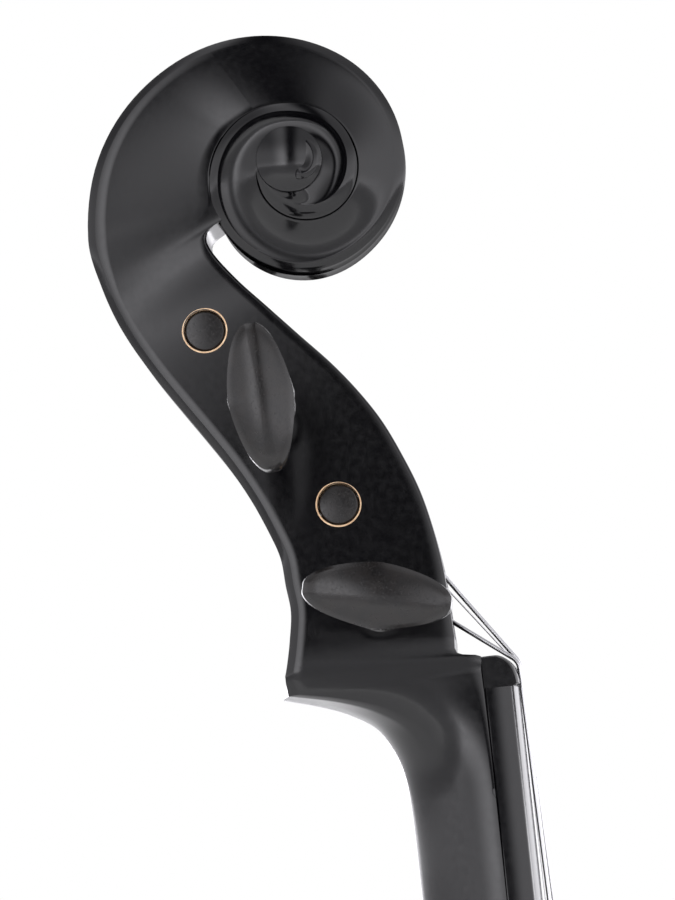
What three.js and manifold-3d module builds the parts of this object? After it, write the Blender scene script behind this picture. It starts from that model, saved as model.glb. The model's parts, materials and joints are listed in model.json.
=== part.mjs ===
// Electric violin with a carved scroll, built as an assembly of separate pieces.
// Millimetres. The violin stands upright: +Z runs up the neck to the scroll, the strings face -Y,
// and +X is the treble side. The origin is on the neck's centreline at the nut, on the plane that the
// fingerboard is glued to, where the fork of a hanger holds the neck under the pegbox.
import * as THREE from "three";
import { mergeVertices } from "three/addons/utils/BufferGeometryUtils.js";
import Module from "manifold-3d";

const wasm = await Module();
wasm.setup();

// Fits between pieces
const seatGap = 0.3;
const runningGap = 0.35;
const cutOverrun = 3;
const weldDistance = 1e-4;

// Main dimensions of a full-size violin
const stringLength = 328;
const neckStop = 130;
const bodyLength = 356;
const neckLean = THREE.MathUtils.degToRad(4);
const overstand = 2.6;
const bodyThickness = 31;

// Head, seen from the side: heights and depths are shares of its height, widths of its width at the eyes
const headHeight = 114.4;
const eyeWidth = 41;
const voluteRadius = 18.9;
const eyeCentreShares = [0.199, 0.814];
const edgeBevel = 1.1;
const fluteDepth = 0.95;
const dishDepth = 1.1;
const buriedInset = 0.25;
const neckDepth = 13.9;
const heelOverlap = 5;
const pegboxWall = 4.1;
const pegboxFloor = 4.6;

// Fingerboard and nut
const fingerboardLength = 270;
const nutHalfWidth = 12;
const boardEndHalfWidth = 21;
const boardEdge = 4.2;
const boardRadius = 42;
const boardScoop = 2.2;
const nutThickness = 5.6;
const nutEdgeHeight = 5.9;
const nutCrownRise = 0.7;

// Strings, from the bass side to the treble side
const stringRadii = [0.4, 0.38, 0.33, 0.16];
const stringNames = ["g", "d", "a", "e"];
const nutSpacing = 5.5;
const bridgeSpacing = 11.3;
const tunerSpacing = 9.6;
const ballRadius = 1.9;
const stringSides = 8;

// Pegs
const pegTipRadius = 3.45;
const pegTaper = 1 / 30;
const pegShoulder = 12;
const collarRadius = 5.6;
const collarLength = 3.2;
const gripWidth = 25;
const gripHeight = 20;
const gripThickness = 11.4;
const pegRecess = 0.7;
const windingTurns = 2.5;
const windingGap = 0.44;
const windingLead = 1.1;

// Body
const upperBoutHalfWidth = 84;
const lowerBoutHalfWidth = 104;
const coreHalfWidth = 45;
const coreFrontRadius = 6;
const coreBackRadius = 8;
const armThickness = 24;
const armWidth = 13.5;
const armRootWidth = 21;
const armCorner = 5.5;
const tenonHalfWidth = 11;
const tenonLength = 19;
const tenonDepth = 20;

// Bridge and pickup
const bridgeHeight = 33;
const bridgeWidth = 41;
const bridgeFootThickness = 4.6;
const bridgeTopThickness = 1.5;
const pickupLength = 47;
const pickupWidth = 9;
const pickupThickness = 2.6;

// Tailpiece with its four fine tuners
const afterDrop = 8.8;
const tailpieceLength = 96;
const tailpieceClearance = 3.4;
const tailpieceHeadHalfWidth = 21.5;
const tailpieceTop = 2.4;
const tailpieceThickness = 10;
const tailpieceTailThickness = 4.6;
const tailpieceArch = 1.4;
const plateThickness = 2.6;
const pocketLength = 36;
const axleRadius = 1.1;
const axleInset = 5.6;
const leverWidth = 4.6;
const leverArm = 25.4;
const hookThickness = 2.2;
const hookRise = 1.2;
const screwTravel = 3;
const screwRadius = 1.15;
const screwHeadRadius = 4.1;
const screwHeadHeight = 6;

// Saddle, end button and tailgut
const saddleHalfWidth = 14;
const saddleRise = 5;
const saddleThickness = 5.4;
const saddleDepth = 4;
const gutRadius = 1.05;
const gutHalfSpacing = 5.75;
const gutGrip = 11;
const buttonFlangeRadius = 7;
const buttonFlange = 1.8;
const buttonNeckRadius = 4.4;
const buttonNeck = 3.6;
const buttonHeadRadius = 7.4;
const buttonHead = 6.8;
const buttonShank = 18;
const buttonShankRadius = 3.8;

// Chinrest and its clamp
const cupHalfWidth = 37;
const cupHalfLength = 33;
const cupRimHeight = 13;
const cupDish = 7;
const cupX = -57;
const cupFromTail = 45;
const lugWidth = 29;
const lugThickness = 6;
const corkThickness = 2.3;
const clampX = [-38, -21];
const clampStandoff = 5.6;
const barrelRadius = 3.1;
const barrelBore = 1.9;
const studRadius = 1.45;
const clampPlate = 2.2;

// Electronics
const cavityHalfLength = 28;
const cavityFromTail = 122;
const cavityLeft = -24;
const sideWallThickness = 7.4;
const frontWallThickness = 6.5;
const coverMargin = 5;
const coverThickness = 2;
const coverCorner = 5;
const coverScrewRadius = 2.5;
const coverScrewShank = 1.2;
const coverScrewLength = 9;
const boardThickness = 1.6;
const controlSpacing = 28;
const controlDepth = 14.5;
const potRadius = 7.4;
const potDepth = 8;
const potBushRadius = 3.5;
const potShaftRadius = 2.4;
const potNut = 1.8;
const knobRadius = 7.6;
const knobHeight = 11;
const knobFlutes = 14;
const jackFromTail = 58;
const jackRadius = 6.6;
const jackDepth = 30;
const jackBushRadius = 4.7;
const jackBoreRadius = 3.35;
const escutcheonRadius = 8.4;
const escutcheon = 1.6;
const jackNut = 2.6;
const boxX = -11;
const boxFromTail = 54;
const boxHalfWidth = 16;
const boxHalfLength = 30;
const boxDepth = 22;
const boxWall = 1.6;
const boxFlange = 3.2;
const doorThickness = 2.2;
const doorPinRadius = 0.6;
const batterySize = [26, 17, 48];

// Places worked out from the dimensions
const frontY = -neckStop * Math.tan(neckLean) + overstand;
const backY = frontY + bodyThickness;
const topZ = -neckStop;
const tailZ = topZ - bodyLength;
const bridgeZ = -stringLength * Math.cos(neckLean);
const crownY = frontY - seatGap - bridgeHeight;
const eyeCentre = eyeCentreShares.map((share) => share * headHeight);
const sideX = coreHalfWidth;
const cupCentre = [cupX, tailZ + cupFromTail];
const boxCentre = [boxX, tailZ + boxFromTail];
const jackZ = tailZ + jackFromTail;
const cavityZ = tailZ + cavityFromTail;
const controlY = frontY + controlDepth;
const controlZ = [cavityZ + controlSpacing / 2, cavityZ - controlSpacing / 2];
const crestY = frontY - saddleRise;
const gutOverY = crestY - seatGap - gutRadius;

const vector = (x, y, z) => new THREE.Vector3(x, y, z);
const mix = THREE.MathUtils.lerp;
const sagitta = (x, radius) => radius - Math.sqrt(radius * radius - x * x);

// A point of the leaning neck, in the frame of the whole violin.
const fromNeck = (point) => point.clone().applyAxisAngle(vector(1, 0, 0), -neckLean);

// A closed geometry as a solid that can be joined and cut.
function solidOf(geometry) {
  const bare = new THREE.BufferGeometry();
  bare.setAttribute("position", geometry.getAttribute("position"));
  bare.setIndex(geometry.index);
  const merged = mergeVertices(bare, weldDistance);
  const corners = merged.index.array;
  const kept = [];
  for (let i = 0; i < corners.length; i += 3) {
    const [a, b, c] = [corners[i], corners[i + 1], corners[i + 2]];
    if (a !== b && b !== c && a !== c) kept.push(a, b, c);
  }
  const solid = new wasm.Manifold(
    new wasm.Mesh({
      numProp: 3,
      vertProperties: new Float32Array(merged.attributes.position.array),
      triVerts: new Uint32Array(kept),
    }),
  );
  return solid;
}

// A solid as a geometry with flat shading.
function geometryOf(solid) {
  const mesh = solid.getMesh();
  const points = new Float32Array(mesh.numVert * 3);
  for (let i = 0; i < mesh.numVert; i++) {
    points.set(mesh.vertProperties.subarray(i * mesh.numProp, i * mesh.numProp + 3), i * 3);
  }
  const geometry = new THREE.BufferGeometry();
  geometry.setAttribute("position", new THREE.BufferAttribute(points, 3));
  geometry.setIndex(new THREE.BufferAttribute(mesh.triVerts, 1));
  geometry.computeVertexNormals();
  return geometry;
}

const cut = (solid, ...tools) => tools.reduce((left, tool) => left.subtract(tool), solid);
const join = (...solids) => solids.reduce((sum, next) => sum.add(next));

// The flat end of a loft as triangles, from the ring's own plane.
function capTriangles(ring) {
  const normal = vector(0, 0, 0);
  ring.forEach((p, i) => {
    const q = ring[(i + 1) % ring.length];
    normal.add(vector((p.y - q.y) * (p.z + q.z), (p.z - q.z) * (p.x + q.x), (p.x - q.x) * (p.y + q.y)));
  });
  normal.normalize();
  const across = ring.map((p) => p.clone().sub(ring[0])).sort((p, q) => q.length() - p.length())[0];
  const u = across.addScaledVector(normal, -across.dot(normal)).normalize();
  const v = normal.clone().cross(u);
  const flat = ring.map((p) => new THREE.Vector2(p.dot(u), p.dot(v)));
  return THREE.ShapeUtils.triangulateShape(flat, []);
}

// A closed skin through rings of points, with flat ends. Its faces are turned to point out.
function loft(rings) {
  const count = rings[0].length;
  const points = rings.flat().flatMap((p) => [p.x, p.y, p.z]);
  const faces = [];
  for (let r = 0; r + 1 < rings.length; r++) {
    for (let i = 0; i < count; i++) {
      const a = r * count + i;
      const b = r * count + ((i + 1) % count);
      faces.push([a, b, b + count], [a, b + count, a + count]);
    }
  }
  const last = (rings.length - 1) * count;
  capTriangles(rings[0]).forEach(([a, b, c]) => faces.push([c, b, a]));
  capTriangles(rings[rings.length - 1]).forEach(([a, b, c]) => faces.push([last + a, last + b, last + c]));
  let volume = 0;
  const at = (i) => vector(points[3 * i], points[3 * i + 1], points[3 * i + 2]);
  faces.forEach(([a, b, c]) => (volume += at(a).dot(at(b).cross(at(c)))));
  const index = faces.flatMap(([a, b, c]) => (volume < 0 ? [a, c, b] : [a, b, c]));
  const geometry = new THREE.BufferGeometry();
  geometry.setAttribute("position", new THREE.Float32BufferAttribute(points, 3));
  geometry.setIndex(index);
  return geometry;
}

// A round tube along a path, with flat ends square to it.
function tube(path, radius, sides) {
  const across = vector(1, 0, 0);
  const rings = path.map((p, i) => {
    const before = path[Math.max(i - 1, 0)];
    const after = path[Math.min(i + 1, path.length - 1)];
    const along = after.clone().sub(before).normalize();
    const side = across.addScaledVector(along, -across.dot(along)).normalize().clone();
    const up = along.clone().cross(side);
    return Array.from({ length: sides }, (_, k) => {
      const turn = (2 * Math.PI * k) / sides;
      const corner = p.clone().addScaledVector(side, radius * Math.cos(turn));
      return corner.addScaledVector(up, radius * Math.sin(turn));
    });
  });
  return loft(rings);
}

// A body turned about the X axis: its profile is a list of [x, radius].
function turned(profile, sides) {
  const ring = ([x, radius]) =>
    Array.from({ length: sides }, (_, k) => {
      const turn = (2 * Math.PI * (k + 0.5)) / sides;
      return vector(x, radius * Math.cos(turn), radius * Math.sin(turn));
    });
  return solidOf(loft(profile.map(ring)));
}

// A box between two corners.
function block([x0, y0, z0], [x1, y1, z1]) {
  const geometry = new THREE.BoxGeometry(x1 - x0, y1 - y0, z1 - z0);
  geometry.translate((x0 + x1) / 2, (y0 + y1) / 2, (z0 + z1) / 2);
  return solidOf(geometry);
}

// An outline, with any holes, pushed through a thickness centred on its plane.
function slab(outline, thickness, holes = []) {
  const shape = new THREE.Shape(outline);
  shape.holes = holes.map((hole) => new THREE.Path(hole));
  const geometry = new THREE.ExtrudeGeometry(shape, { depth: thickness, bevelEnabled: false, steps: 1 });
  return geometry.translate(0, 0, -thickness / 2);
}

// An open or closed smooth line through points of the plane, as points.
function smooth(points, steps, closed = false) {
  const curve = new THREE.CatmullRomCurve3(
    points.map(([a, b]) => vector(a, b, 0)),
    closed,
    "centripetal",
  );
  const found = curve.getPoints(steps).map((p) => new THREE.Vector2(p.x, p.y));
  return closed ? found.slice(0, -1) : found;
}

// A value from an evenly spaced table, on a smooth curve through its entries.
function fromTable(table, position) {
  const at = (i) => table[THREE.MathUtils.clamp(i, 0, table.length - 1)];
  const i = Math.floor(THREE.MathUtils.clamp(position, 0, table.length - 1.001));
  const t = position - i;
  const [a, b, c, d] = [at(i - 1), at(i), at(i + 1), at(i + 2)];
  const bend = 2 * a - 5 * b + 4 * c - d;
  return b + 0.5 * t * (c - a + t * (bend + t * (3 * (b - c) + d - a)));
}

const finish = (color, roughness, metalness = 0) =>
  new THREE.MeshStandardMaterial({ color, roughness, metalness });
const materials = {
  lacquer: finish(0x0b0b0d, 0.16),
  ebony: finish(0x17130f, 0.38),
  maple: finish(0xc99a5f, 0.5),
  steel: finish(0xb9bcc0, 0.25, 1),
  nickel: finish(0xd2d2d4, 0.2, 1),
  brass: finish(0xb98f4a, 0.3, 1),
  composite: finish(0x121213, 0.42),
  plastic: finish(0x151516, 0.5),
  cork: finish(0xa87f52, 0.9),
  gut: finish(0x1b1b1b, 0.45),
  circuit: finish(0x1d4a2c, 0.55),
  cell: finish(0x2a2d33, 0.35),
};

const violin = new THREE.Group();
const neckGroup = new THREE.Group();
neckGroup.rotation.x = -neckLean;
violin.add(neckGroup);

// Adds one named piece to a group and returns its mesh.
function piece(group, name, shape, material) {
  const geometry = shape instanceof THREE.BufferGeometry ? shape : geometryOf(shape);
  const mesh = new THREE.Mesh(geometry, material);
  mesh.name = name;
  group.add(mesh);
  return mesh;
}

// The ridge of the scroll: its radius about the eye and its half width, every 45 degrees. The first
// entry is 45 degrees below the back of the head, and they go over the top and inwards for three turns.
const ridgeRadiusShares = [
  2.3, 1.932, 1.528, 1.252, 1.086, 1.007, 0.968, 0.968, 0.889, 0.793, 0.674, 0.583, 0.585, 0.567,
  0.542, 0.494, 0.42, 0.351, 0.281, 0.249, 0.238, 0.232, 0.21, 0.206, 0.212,
];
const ridgeWidthShares = [
  0.221, 0.202, 0.171, 0.151, 0.144, 0.146, 0.161, 0.183, 0.21, 0.237, 0.263, 0.288, 0.312, 0.337,
  0.359, 0.378, 0.398, 0.417, 0.437, 0.454, 0.468, 0.48, 0.49, 0.498, 0.5,
];
const tableStep = 45;
const fullTurn = 360;

// The scroll is joined from parts of its spiral, in degrees from straight back. A later part starts
// buried in the one before and comes out of it over the turns in shown.
const firstPart = { from: -12, to: 330, step: 19, dished: [-10, 70] };
const secondPart = { from: 298, to: 640, step: 21.4, shown: [322, 340] };
const rampPart = { from: 585, to: 780, step: 19.5, shown: [630, 660], lifted: [585, 675] };
const eyePart = { from: 765, to: 1035, step: 27 };
const ridgeRadius = (turn) => voluteRadius * fromTable(ridgeRadiusShares, turn / tableStep + 1);
const ridgeWidth = (turn) => eyeWidth * fromTable(ridgeWidthShares, turn / tableStep + 1);

// The pegbox and the neck behind it, from the neck up to the throat of the scroll. Each row is the back
// edge, then the front edge, as depth and height, then the half widths at the back and the front,
// and how round the section is.
const pegboxShares = [
  [0.1215, -0.28, 0, -0.28, 0.31, 0.316, 1],
  [0.125, -0.146, 0, -0.157, 0.305, 0.309, 1],
  [0.1364, -0.092, 0, -0.114, 0.307, 0.303, 0.95],
  [0.1573, -0.0437, 0, -0.0743, 0.312, 0.298, 0.85],
  [0.1967, -0.0165, 0, -0.035, 0.32, 0.295, 0.65],
  [0.2448, 0.0005, 0, 0, 0.327, 0.293, 0.4],
  [0.3042, 0.0175, 0, 0.028, 0.329, 0.293, 0.12],
  [0.2937, 0.049, 0, 0.049, 0.327, 0.293, 0],
  [0.2876, 0.0717, 0.0341, 0.0577, 0.322, 0.292, 0],
  [0.2815, 0.1005, 0.0358, 0.083, 0.319, 0.291, 0],
  [0.2753, 0.1442, 0.0385, 0.1399, 0.312, 0.288, 0],
  [0.2791, 0.1836, 0.042, 0.1923, 0.304, 0.283, 0],
  [0.283, 0.2273, 0.051, 0.2509, 0.296, 0.277, 0],
  [0.2978, 0.271, 0.0639, 0.3059, 0.288, 0.271, 0],
  [0.3192, 0.3207, 0.0832, 0.3584, 0.28, 0.264, 0],
  [0.3479, 0.3759, 0.1089, 0.4152, 0.271, 0.257, 0],
  [0.3802, 0.424, 0.1389, 0.4633, 0.262, 0.251, 0],
  [0.4153, 0.4728, 0.1766, 0.5122, 0.252, 0.244, 0],
  [0.4461, 0.52, 0.2221, 0.5621, 0.243, 0.238, 0],
  [0.4681, 0.5584, 0.2672, 0.6119, 0.235, 0.232, 0],
  [0.4825, 0.5857, 0.3063, 0.6556, 0.228, 0.226, 0],
  [0.4945, 0.6132, 0.3404, 0.7036, 0.222, 0.22, 0],
  [0.5067, 0.6437, 0.3436, 0.7309, 0.217, 0.21, 0],
  [0.516, 0.6791, 0.271, 0.7736, 0.212, 0.196, 0],
];
const cavityRows = [9, 21];
const cavityDraft = 1.2 * edgeBevel;
const roundTurns = [0, 18, 35, 50, 63, 73, 82, 90].map(THREE.MathUtils.degToRad);
const neckBow = 0.93;

// One section across the head, between its front edge and its back edge. A point is given by its
// height along that line and its distance from the middle, on one side, and mirrored for the other.
function headSection(front, back, half) {
  const along = vector(0, back[0] - front[0], back[1] - front[1]);
  const length = along.length();
  along.normalize();
  const base = vector(0, front[0], front[1]);
  const place = ([height, x]) => base.clone().addScaledVector(along, height).setX(x);
  const side = half(length);
  const mirrored = side.slice(1).reverse();
  return [...side.map(place), ...mirrored.map(([height, x]) => place([height, -x]))];
}

// The half section of the back: a spine between two flutes, then the bevelled ridge.
const ribbon = (length, width, flute) => [
  [length, 0],
  [length - flute, 0.34 * width],
  [length - 0.85 * flute, 0.68 * width],
  [length, width - edgeBevel],
  [length - edgeBevel, width],
];

function pegboxSection([backAt, backUp, frontAt, frontUp, backHalf, frontHalf, roundness], row) {
  const front = [frontAt * headHeight, frontUp * headHeight];
  const back = [backAt * headHeight, backUp * headHeight];
  const rear = backHalf * eyeWidth;
  const fore = frontHalf * eyeWidth;
  const flute = fluteDepth * THREE.MathUtils.smoothstep(row, 5, 12);
  return headSection(front, back, (length) => {
    const cheek = [0.66, 0.33].map((share) => [share * length, mix(fore, rear, share)]);
    const edge = [[edgeBevel / 2, fore], [0, fore - edgeBevel / 2]];
    const box = [...ribbon(length, rear, flute), ...cheek, ...edge];
    return box.map(([height, x], i) => {
      if (i === box.length - 1) return [0, mix(x, fore, roundness)];
      const turn = roundTurns[i];
      const round = [length * Math.cos(turn) ** neckBow, fore * Math.sin(turn) ** neckBow];
      return [mix(height, round[0], roundness), mix(x, round[1], roundness)];
    });
  });
}

// One section of a turn of the scroll, from the axis through the eyes out to the ridge.
function scrollSection(turn, { hub, inset = 0, lift = null, flute = fluteDepth, dish = dishDepth }) {
  const radius = ridgeRadius(turn) - inset;
  const width = lift ? lift(turn) : ridgeWidth(turn);
  const angle = THREE.MathUtils.degToRad(turn);
  const back = [eyeCentre[0] + radius * Math.cos(angle), eyeCentre[1] + radius * Math.sin(angle)];
  return headSection(eyeCentre, back, (length) => {
    const edge = ribbon(length, width, flute);
    if (dish === null) {
      const dome = [0.4, 0.75].map((share) => [
        (1 - share) * (length - edgeBevel),
        mix(width, hub, Math.sin((share * Math.PI) / 2)),
      ]);
      return [...edge, ...dome, [0.08 * length, hub], [0, hub]];
    }
    const inner = Math.max(ridgeRadius(turn + fullTurn) - flute - edgeBevel, edgeBevel);
    const root = width + 0.25 * (ridgeWidth(turn + fullTurn) - width);
    const floor = [0.35, 0.7, 1].map((share) => [
      mix(length - edgeBevel, inner, share),
      mix(width, root, share * share) - dish * Math.sin(Math.PI * share ** 0.8),
    ]);
    return [...edge, ...floor, [0, hub]];
  });
}

const turnsOf = ({ from, to, step }) => {
  const count = Math.round((to - from) / step);
  return Array.from({ length: count + 1 }, (_, i) => from + ((to - from) * i) / count);
};

// The neck down to its heel. Each row is how far down it is, how deep between the neck's depth and the
// heel's, and how wide, as shares of the neck's length and of the nut's half width.
function neckSections() {
  const heelDepth = bodyThickness + heelOverlap;
  const rows = [
    [1.06, 1, 1.34],
    [1, 0.97, 1.35],
    [0.945, 0.9, 1.35],
    [0.9, 0.74, 1.34],
    [0.865, 0.48, 1.32],
    [0.82, 0.24, 1.3],
    [0.76, 0.09, 1.27],
    [0.66, 0.03, 1.2],
    [0.5, 0, 1.13],
  ];
  return rows.map(([downShare, heelShare, widthShare]) => {
    const depth = mix(neckDepth, heelDepth, heelShare);
    const half = nutHalfWidth * widthShare;
    const z = -neckStop * downShare;
    return headSection([0, z], [depth, z], (length) => {
      const round = roundTurns.map((turn) => [
        length * Math.cos(turn) ** neckBow,
        half * Math.sin(turn) ** neckBow,
      ]);
      return [...round, [0, half]];
    });
  });
}

// The hollow of the pegbox, open to the front.
function pegboxCavity() {
  const [first, last] = cavityRows;
  const rings = pegboxShares.slice(first, last + 1).map((row, i, all) => {
    const [by, bz, fy, fz, , frontHalf] = row;
    const front = vector(0, fy * headHeight, fz * headHeight);
    const back = vector(0, by * headHeight, bz * headHeight);
    const along = back.clone().sub(front).normalize();
    const ends = i === 0 || i === all.length - 1;
    const depth = front.distanceTo(back) - pegboxFloor * (ends ? 2 : 1);
    const mouth = frontHalf * eyeWidth - pegboxWall;
    const bottom = mouth - cavityDraft;
    return [
      [-cutOverrun, mouth],
      [depth - 2 * edgeBevel, bottom],
      [depth, bottom - 2 * edgeBevel],
    ]
      .concat([
        [depth, 2 * edgeBevel - bottom],
        [depth - 2 * edgeBevel, -bottom],
        [-cutOverrun, -mouth],
      ])
      .map(([height, x]) => front.clone().addScaledVector(along, height).setX(x));
  });
  return solidOf(loft(rings));
}

// Where each peg crosses the pegbox, as depth and height, from the nut upwards: G, E, D, A.
const pegPlaceShares = {
  g: [0.1364, 0.1355],
  e: [0.1879, 0.2981],
  d: [0.2745, 0.4423],
  a: [0.3619, 0.5822],
};
const pegPlace = (name) => pegPlaceShares[name].map((share) => share * headHeight);
const pegAngles = { g: 12.3, d: 87.1, a: 56, e: 64 };
const pegSide = { g: -1, d: -1, a: 1, e: 1 };

// Half the width of the pegbox at a peg, outside and inside.
function pegboxAt(name) {
  const [y, z] = pegPlace(name);
  let best = null;
  pegboxShares.slice(8).forEach(([by, bz, fy, fz, backHalf, frontHalf]) => {
    const front = new THREE.Vector2(fy, fz).multiplyScalar(headHeight);
    const back = new THREE.Vector2(by, bz).multiplyScalar(headHeight);
    const line = new THREE.Line3(vector(front.x, front.y, 0), vector(back.x, back.y, 0));
    const point = vector(y, z, 0);
    const share = line.closestPointToPointParameter(point, true);
    const distance = line.at(share, vector(0, 0, 0)).distanceTo(point);
    const half = mix(frontHalf, backHalf, share) * eyeWidth;
    const inner = frontHalf * eyeWidth - pegboxWall - cavityDraft;
    if (!best || distance < best.distance) best = { distance, half, inner };
  });
  return best;
}

const cheekAt = (name) => pegboxAt(name).half;

const pegRadiusAt = (name, x) => {
  const fromTip = cheekAt(name) - pegRecess + x * pegSide[name];
  return pegTipRadius + (fromTip * pegTaper) / 2;
};

function pegHole(name) {
  const [y, z] = pegPlace(name);
  const reach = cheekAt(name) + cutOverrun;
  const slack = runningGap / 2;
  const ends = [-reach, reach].map((x) => [x, pegRadiusAt(name, x) + slack]);
  const hole = turned(ends, 16);
  return hole.translate([0, y, z]);
}

function buildNeck() {
  const lower = neckSections();
  const box = pegboxShares.map(pegboxSection);
  const hub = 0.19 * eyeWidth;
  const rise = THREE.MathUtils.smoothstep;
  const buried = (part, turn) => buriedInset * (1 - rise(turn, ...part.shown));
  const first = turnsOf(firstPart).map((turn) =>
    scrollSection(turn, { hub, dish: dishDepth * rise(turn, ...firstPart.dished) }),
  );
  const outer = solidOf(loft([...lower, ...box, ...first]));
  const innerTurn = turnsOf(secondPart).map((turn) =>
    scrollSection(turn, { hub: 0.37 * eyeWidth, inset: buried(secondPart, turn) }),
  );
  const second = solidOf(loft(innerTurn));
  const eyeTop = 0.5 * eyeWidth;
  const rampTurn = turnsOf(rampPart).map((turn) =>
    scrollSection(turn, {
      hub: 0.96 * eyeTop,
      dish: null,
      lift: (at) => mix(0.33 * eyeWidth, ridgeWidth(at), rise(at, ...rampPart.lifted)),
      inset: buried(rampPart, turn),
      flute: 0.5 * fluteDepth,
    }),
  );
  const ramp = solidOf(loft(rampTurn));
  const lastTurn = turnsOf(eyePart).map((turn) =>
    scrollSection(turn, { hub: eyeTop, dish: null, flute: 0.3 * fluteDepth }),
  );
  const eye = solidOf(loft(lastTurn));
  const scroll = join(outer, second, ramp, eye);
  const holes = stringNames.map(pegHole);
  const whole = cut(scroll, pegboxCavity(), ...holes);
  // The root is trimmed square to the body, and its tenon goes into the upper block.
  const upright = [THREE.MathUtils.radToDeg(neckLean), 0, 0];
  const rootZ = topZ + seatGap;
  const wide = 2 * boardEndHalfWidth;
  const trim = block([-wide, -wide, rootZ - wide], [wide, 2 * wide, rootZ]).rotate(upright);
  const tenon = block(
    [-tenonHalfWidth, frontY + seatGap, topZ - tenonLength],
    [tenonHalfWidth, frontY + tenonDepth, topZ + 2 * cutOverrun],
  ).rotate(upright);
  return whole.subtract(trim).add(tenon);
}

// Fingerboard: flat below, curved above, with its free end hollowed under the strings' far half
const boardHalfWidth = (z) => mix(nutHalfWidth, boardEndHalfWidth, -z / fingerboardLength);
const boardTopAt = (x, z) => boardEdge + sagitta(boardHalfWidth(z), boardRadius) - sagitta(x, boardRadius);

function buildFingerboard() {
  const freeFrom = -neckStop - boardEdge;
  const hollowFrom = freeFrom - 2 * boardEdge;
  const stations = [-seatGap, 0.3 * freeFrom, 0.7 * freeFrom, freeFrom, hollowFrom, -fingerboardLength];
  const arcShares = [1, 0.8, 0.4, 0, -0.4, -0.8, -1];
  const rings = stations.map((z, i) => {
    const half = boardHalfWidth(z);
    const hollow = i > 3 ? boardScoop : 0;
    const top = arcShares.map((share) => vector(share * half, -boardTopAt(share * half, z), z));
    const bottom = [-1, -0.9, -0.75, 0.75, 0.9, 1].map((share) => {
      const inside = Math.abs(share) < 0.8 ? hollow : 0;
      return vector(share * half, -seatGap - inside, z);
    });
    return [...top, ...bottom];
  });
  return solidOf(loft(rings));
}

// Strings: where each one crosses the bridge and the nut, and where it meets its peg's winding
const stringPlace = (i) => i - (stringNames.length - 1) / 2;
const nutTop = (x) => nutEdgeHeight + nutCrownRise * (1 - (x / nutHalfWidth) ** 2);
const windingPitch = (i) => 2 * stringRadii[i] + windingGap;
const radiusOf = (name) => stringRadii[stringNames.indexOf(name)];
const windingRadius = (name, x) => pegRadiusAt(name, x) + runningGap + radiusOf(name);

function nutPoint(i) {
  const x = stringPlace(i) * nutSpacing;
  return vector(x, -nutTop(x) - 0.3 * stringRadii[i], 0.25 * nutThickness);
}

function bridgePoint(i) {
  const x = stringPlace(i) * bridgeSpacing;
  return vector(x, crownY + sagitta(x, boardRadius), bridgeZ);
}

// The string reaches the front of its peg on a tangent, one pitch outside the winding's own turns.
function pegMeeting(i) {
  const name = stringNames[i];
  const [y, z] = pegPlace(name);
  const wound = (windingTurns + windingLead) * windingPitch(i);
  const x = pegSide[name] * (pegboxAt(name).inner - runningGap - stringRadii[i] - wound);
  const from = nutPoint(i);
  const radius = windingRadius(name, x);
  const run = vector(0, y - from.y, z - from.z).normalize();
  const normal = vector(0, -run.z, run.y);
  return { point: vector(x, y, z).addScaledVector(normal, radius), run, normal, radius };
}

function stringPath(i) {
  const nut = nutPoint(i);
  const bend = 0.5 * nutThickness;
  const meeting = pegMeeting(i);
  const bridge = bridgePoint(i);
  const tip = bridgeTopThickness;
  const hook = hookPoint(i);
  const board = fromNeck(nut).sub(bridge).normalize();
  const tail = hook.clone().sub(bridge).normalize();
  const over = nut.clone().add(vector(0, 0.25 * stringRadii[i], bend));
  return [
    hook,
    bridge.clone().addScaledVector(tail, tip),
    bridge.clone().addScaledVector(board, tip),
    fromNeck(nut),
    fromNeck(over),
    fromNeck(meeting.point.clone().addScaledVector(meeting.run, -stringRadii[i])),
  ];
}

// A ball end and the string wound into it.
function buildString(i) {
  const path = stringPath(i);
  const ball = new THREE.SphereGeometry(ballRadius, 8, 6);
  ball.translate(path[0].x, path[0].y, path[0].z);
  return join(solidOf(tube(path, stringRadii[i], stringSides)), solidOf(ball));
}

// The room that a string takes as it crosses another piece.
const stringRoom = (i) => solidOf(tube(stringPath(i), stringRadii[i] + seatGap, stringSides));

function buildNut() {
  const foot = seatGap;
  const profile = [
    [foot, seatGap],
    [-nutEdgeHeight + 2 * seatGap, seatGap],
    [-nutEdgeHeight, 3 * seatGap],
    [-nutEdgeHeight + 0.05 * nutThickness, 0.35 * nutThickness],
    [-nutEdgeHeight + 0.2 * nutThickness, 0.7 * nutThickness],
    [-nutEdgeHeight + 0.4 * nutThickness, 0.95 * nutThickness],
    [foot, 0.98 * nutThickness],
  ];
  const rings = [-1, -0.7, -0.35, 0, 0.35, 0.7, 1].map((share) => {
    const x = share * nutHalfWidth;
    const rise = nutTop(x) / nutEdgeHeight;
    return profile.map(([y, z]) => vector(x, y < 0 ? y * rise : -seatGap, z));
  });
  const shape = solidOf(loft(rings));
  const upright = [THREE.MathUtils.radToDeg(neckLean), 0, 0];
  const rooms = stringNames.map((name, i) => stringRoom(i).rotate(upright));
  return cut(shape, ...rooms);
}

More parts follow.
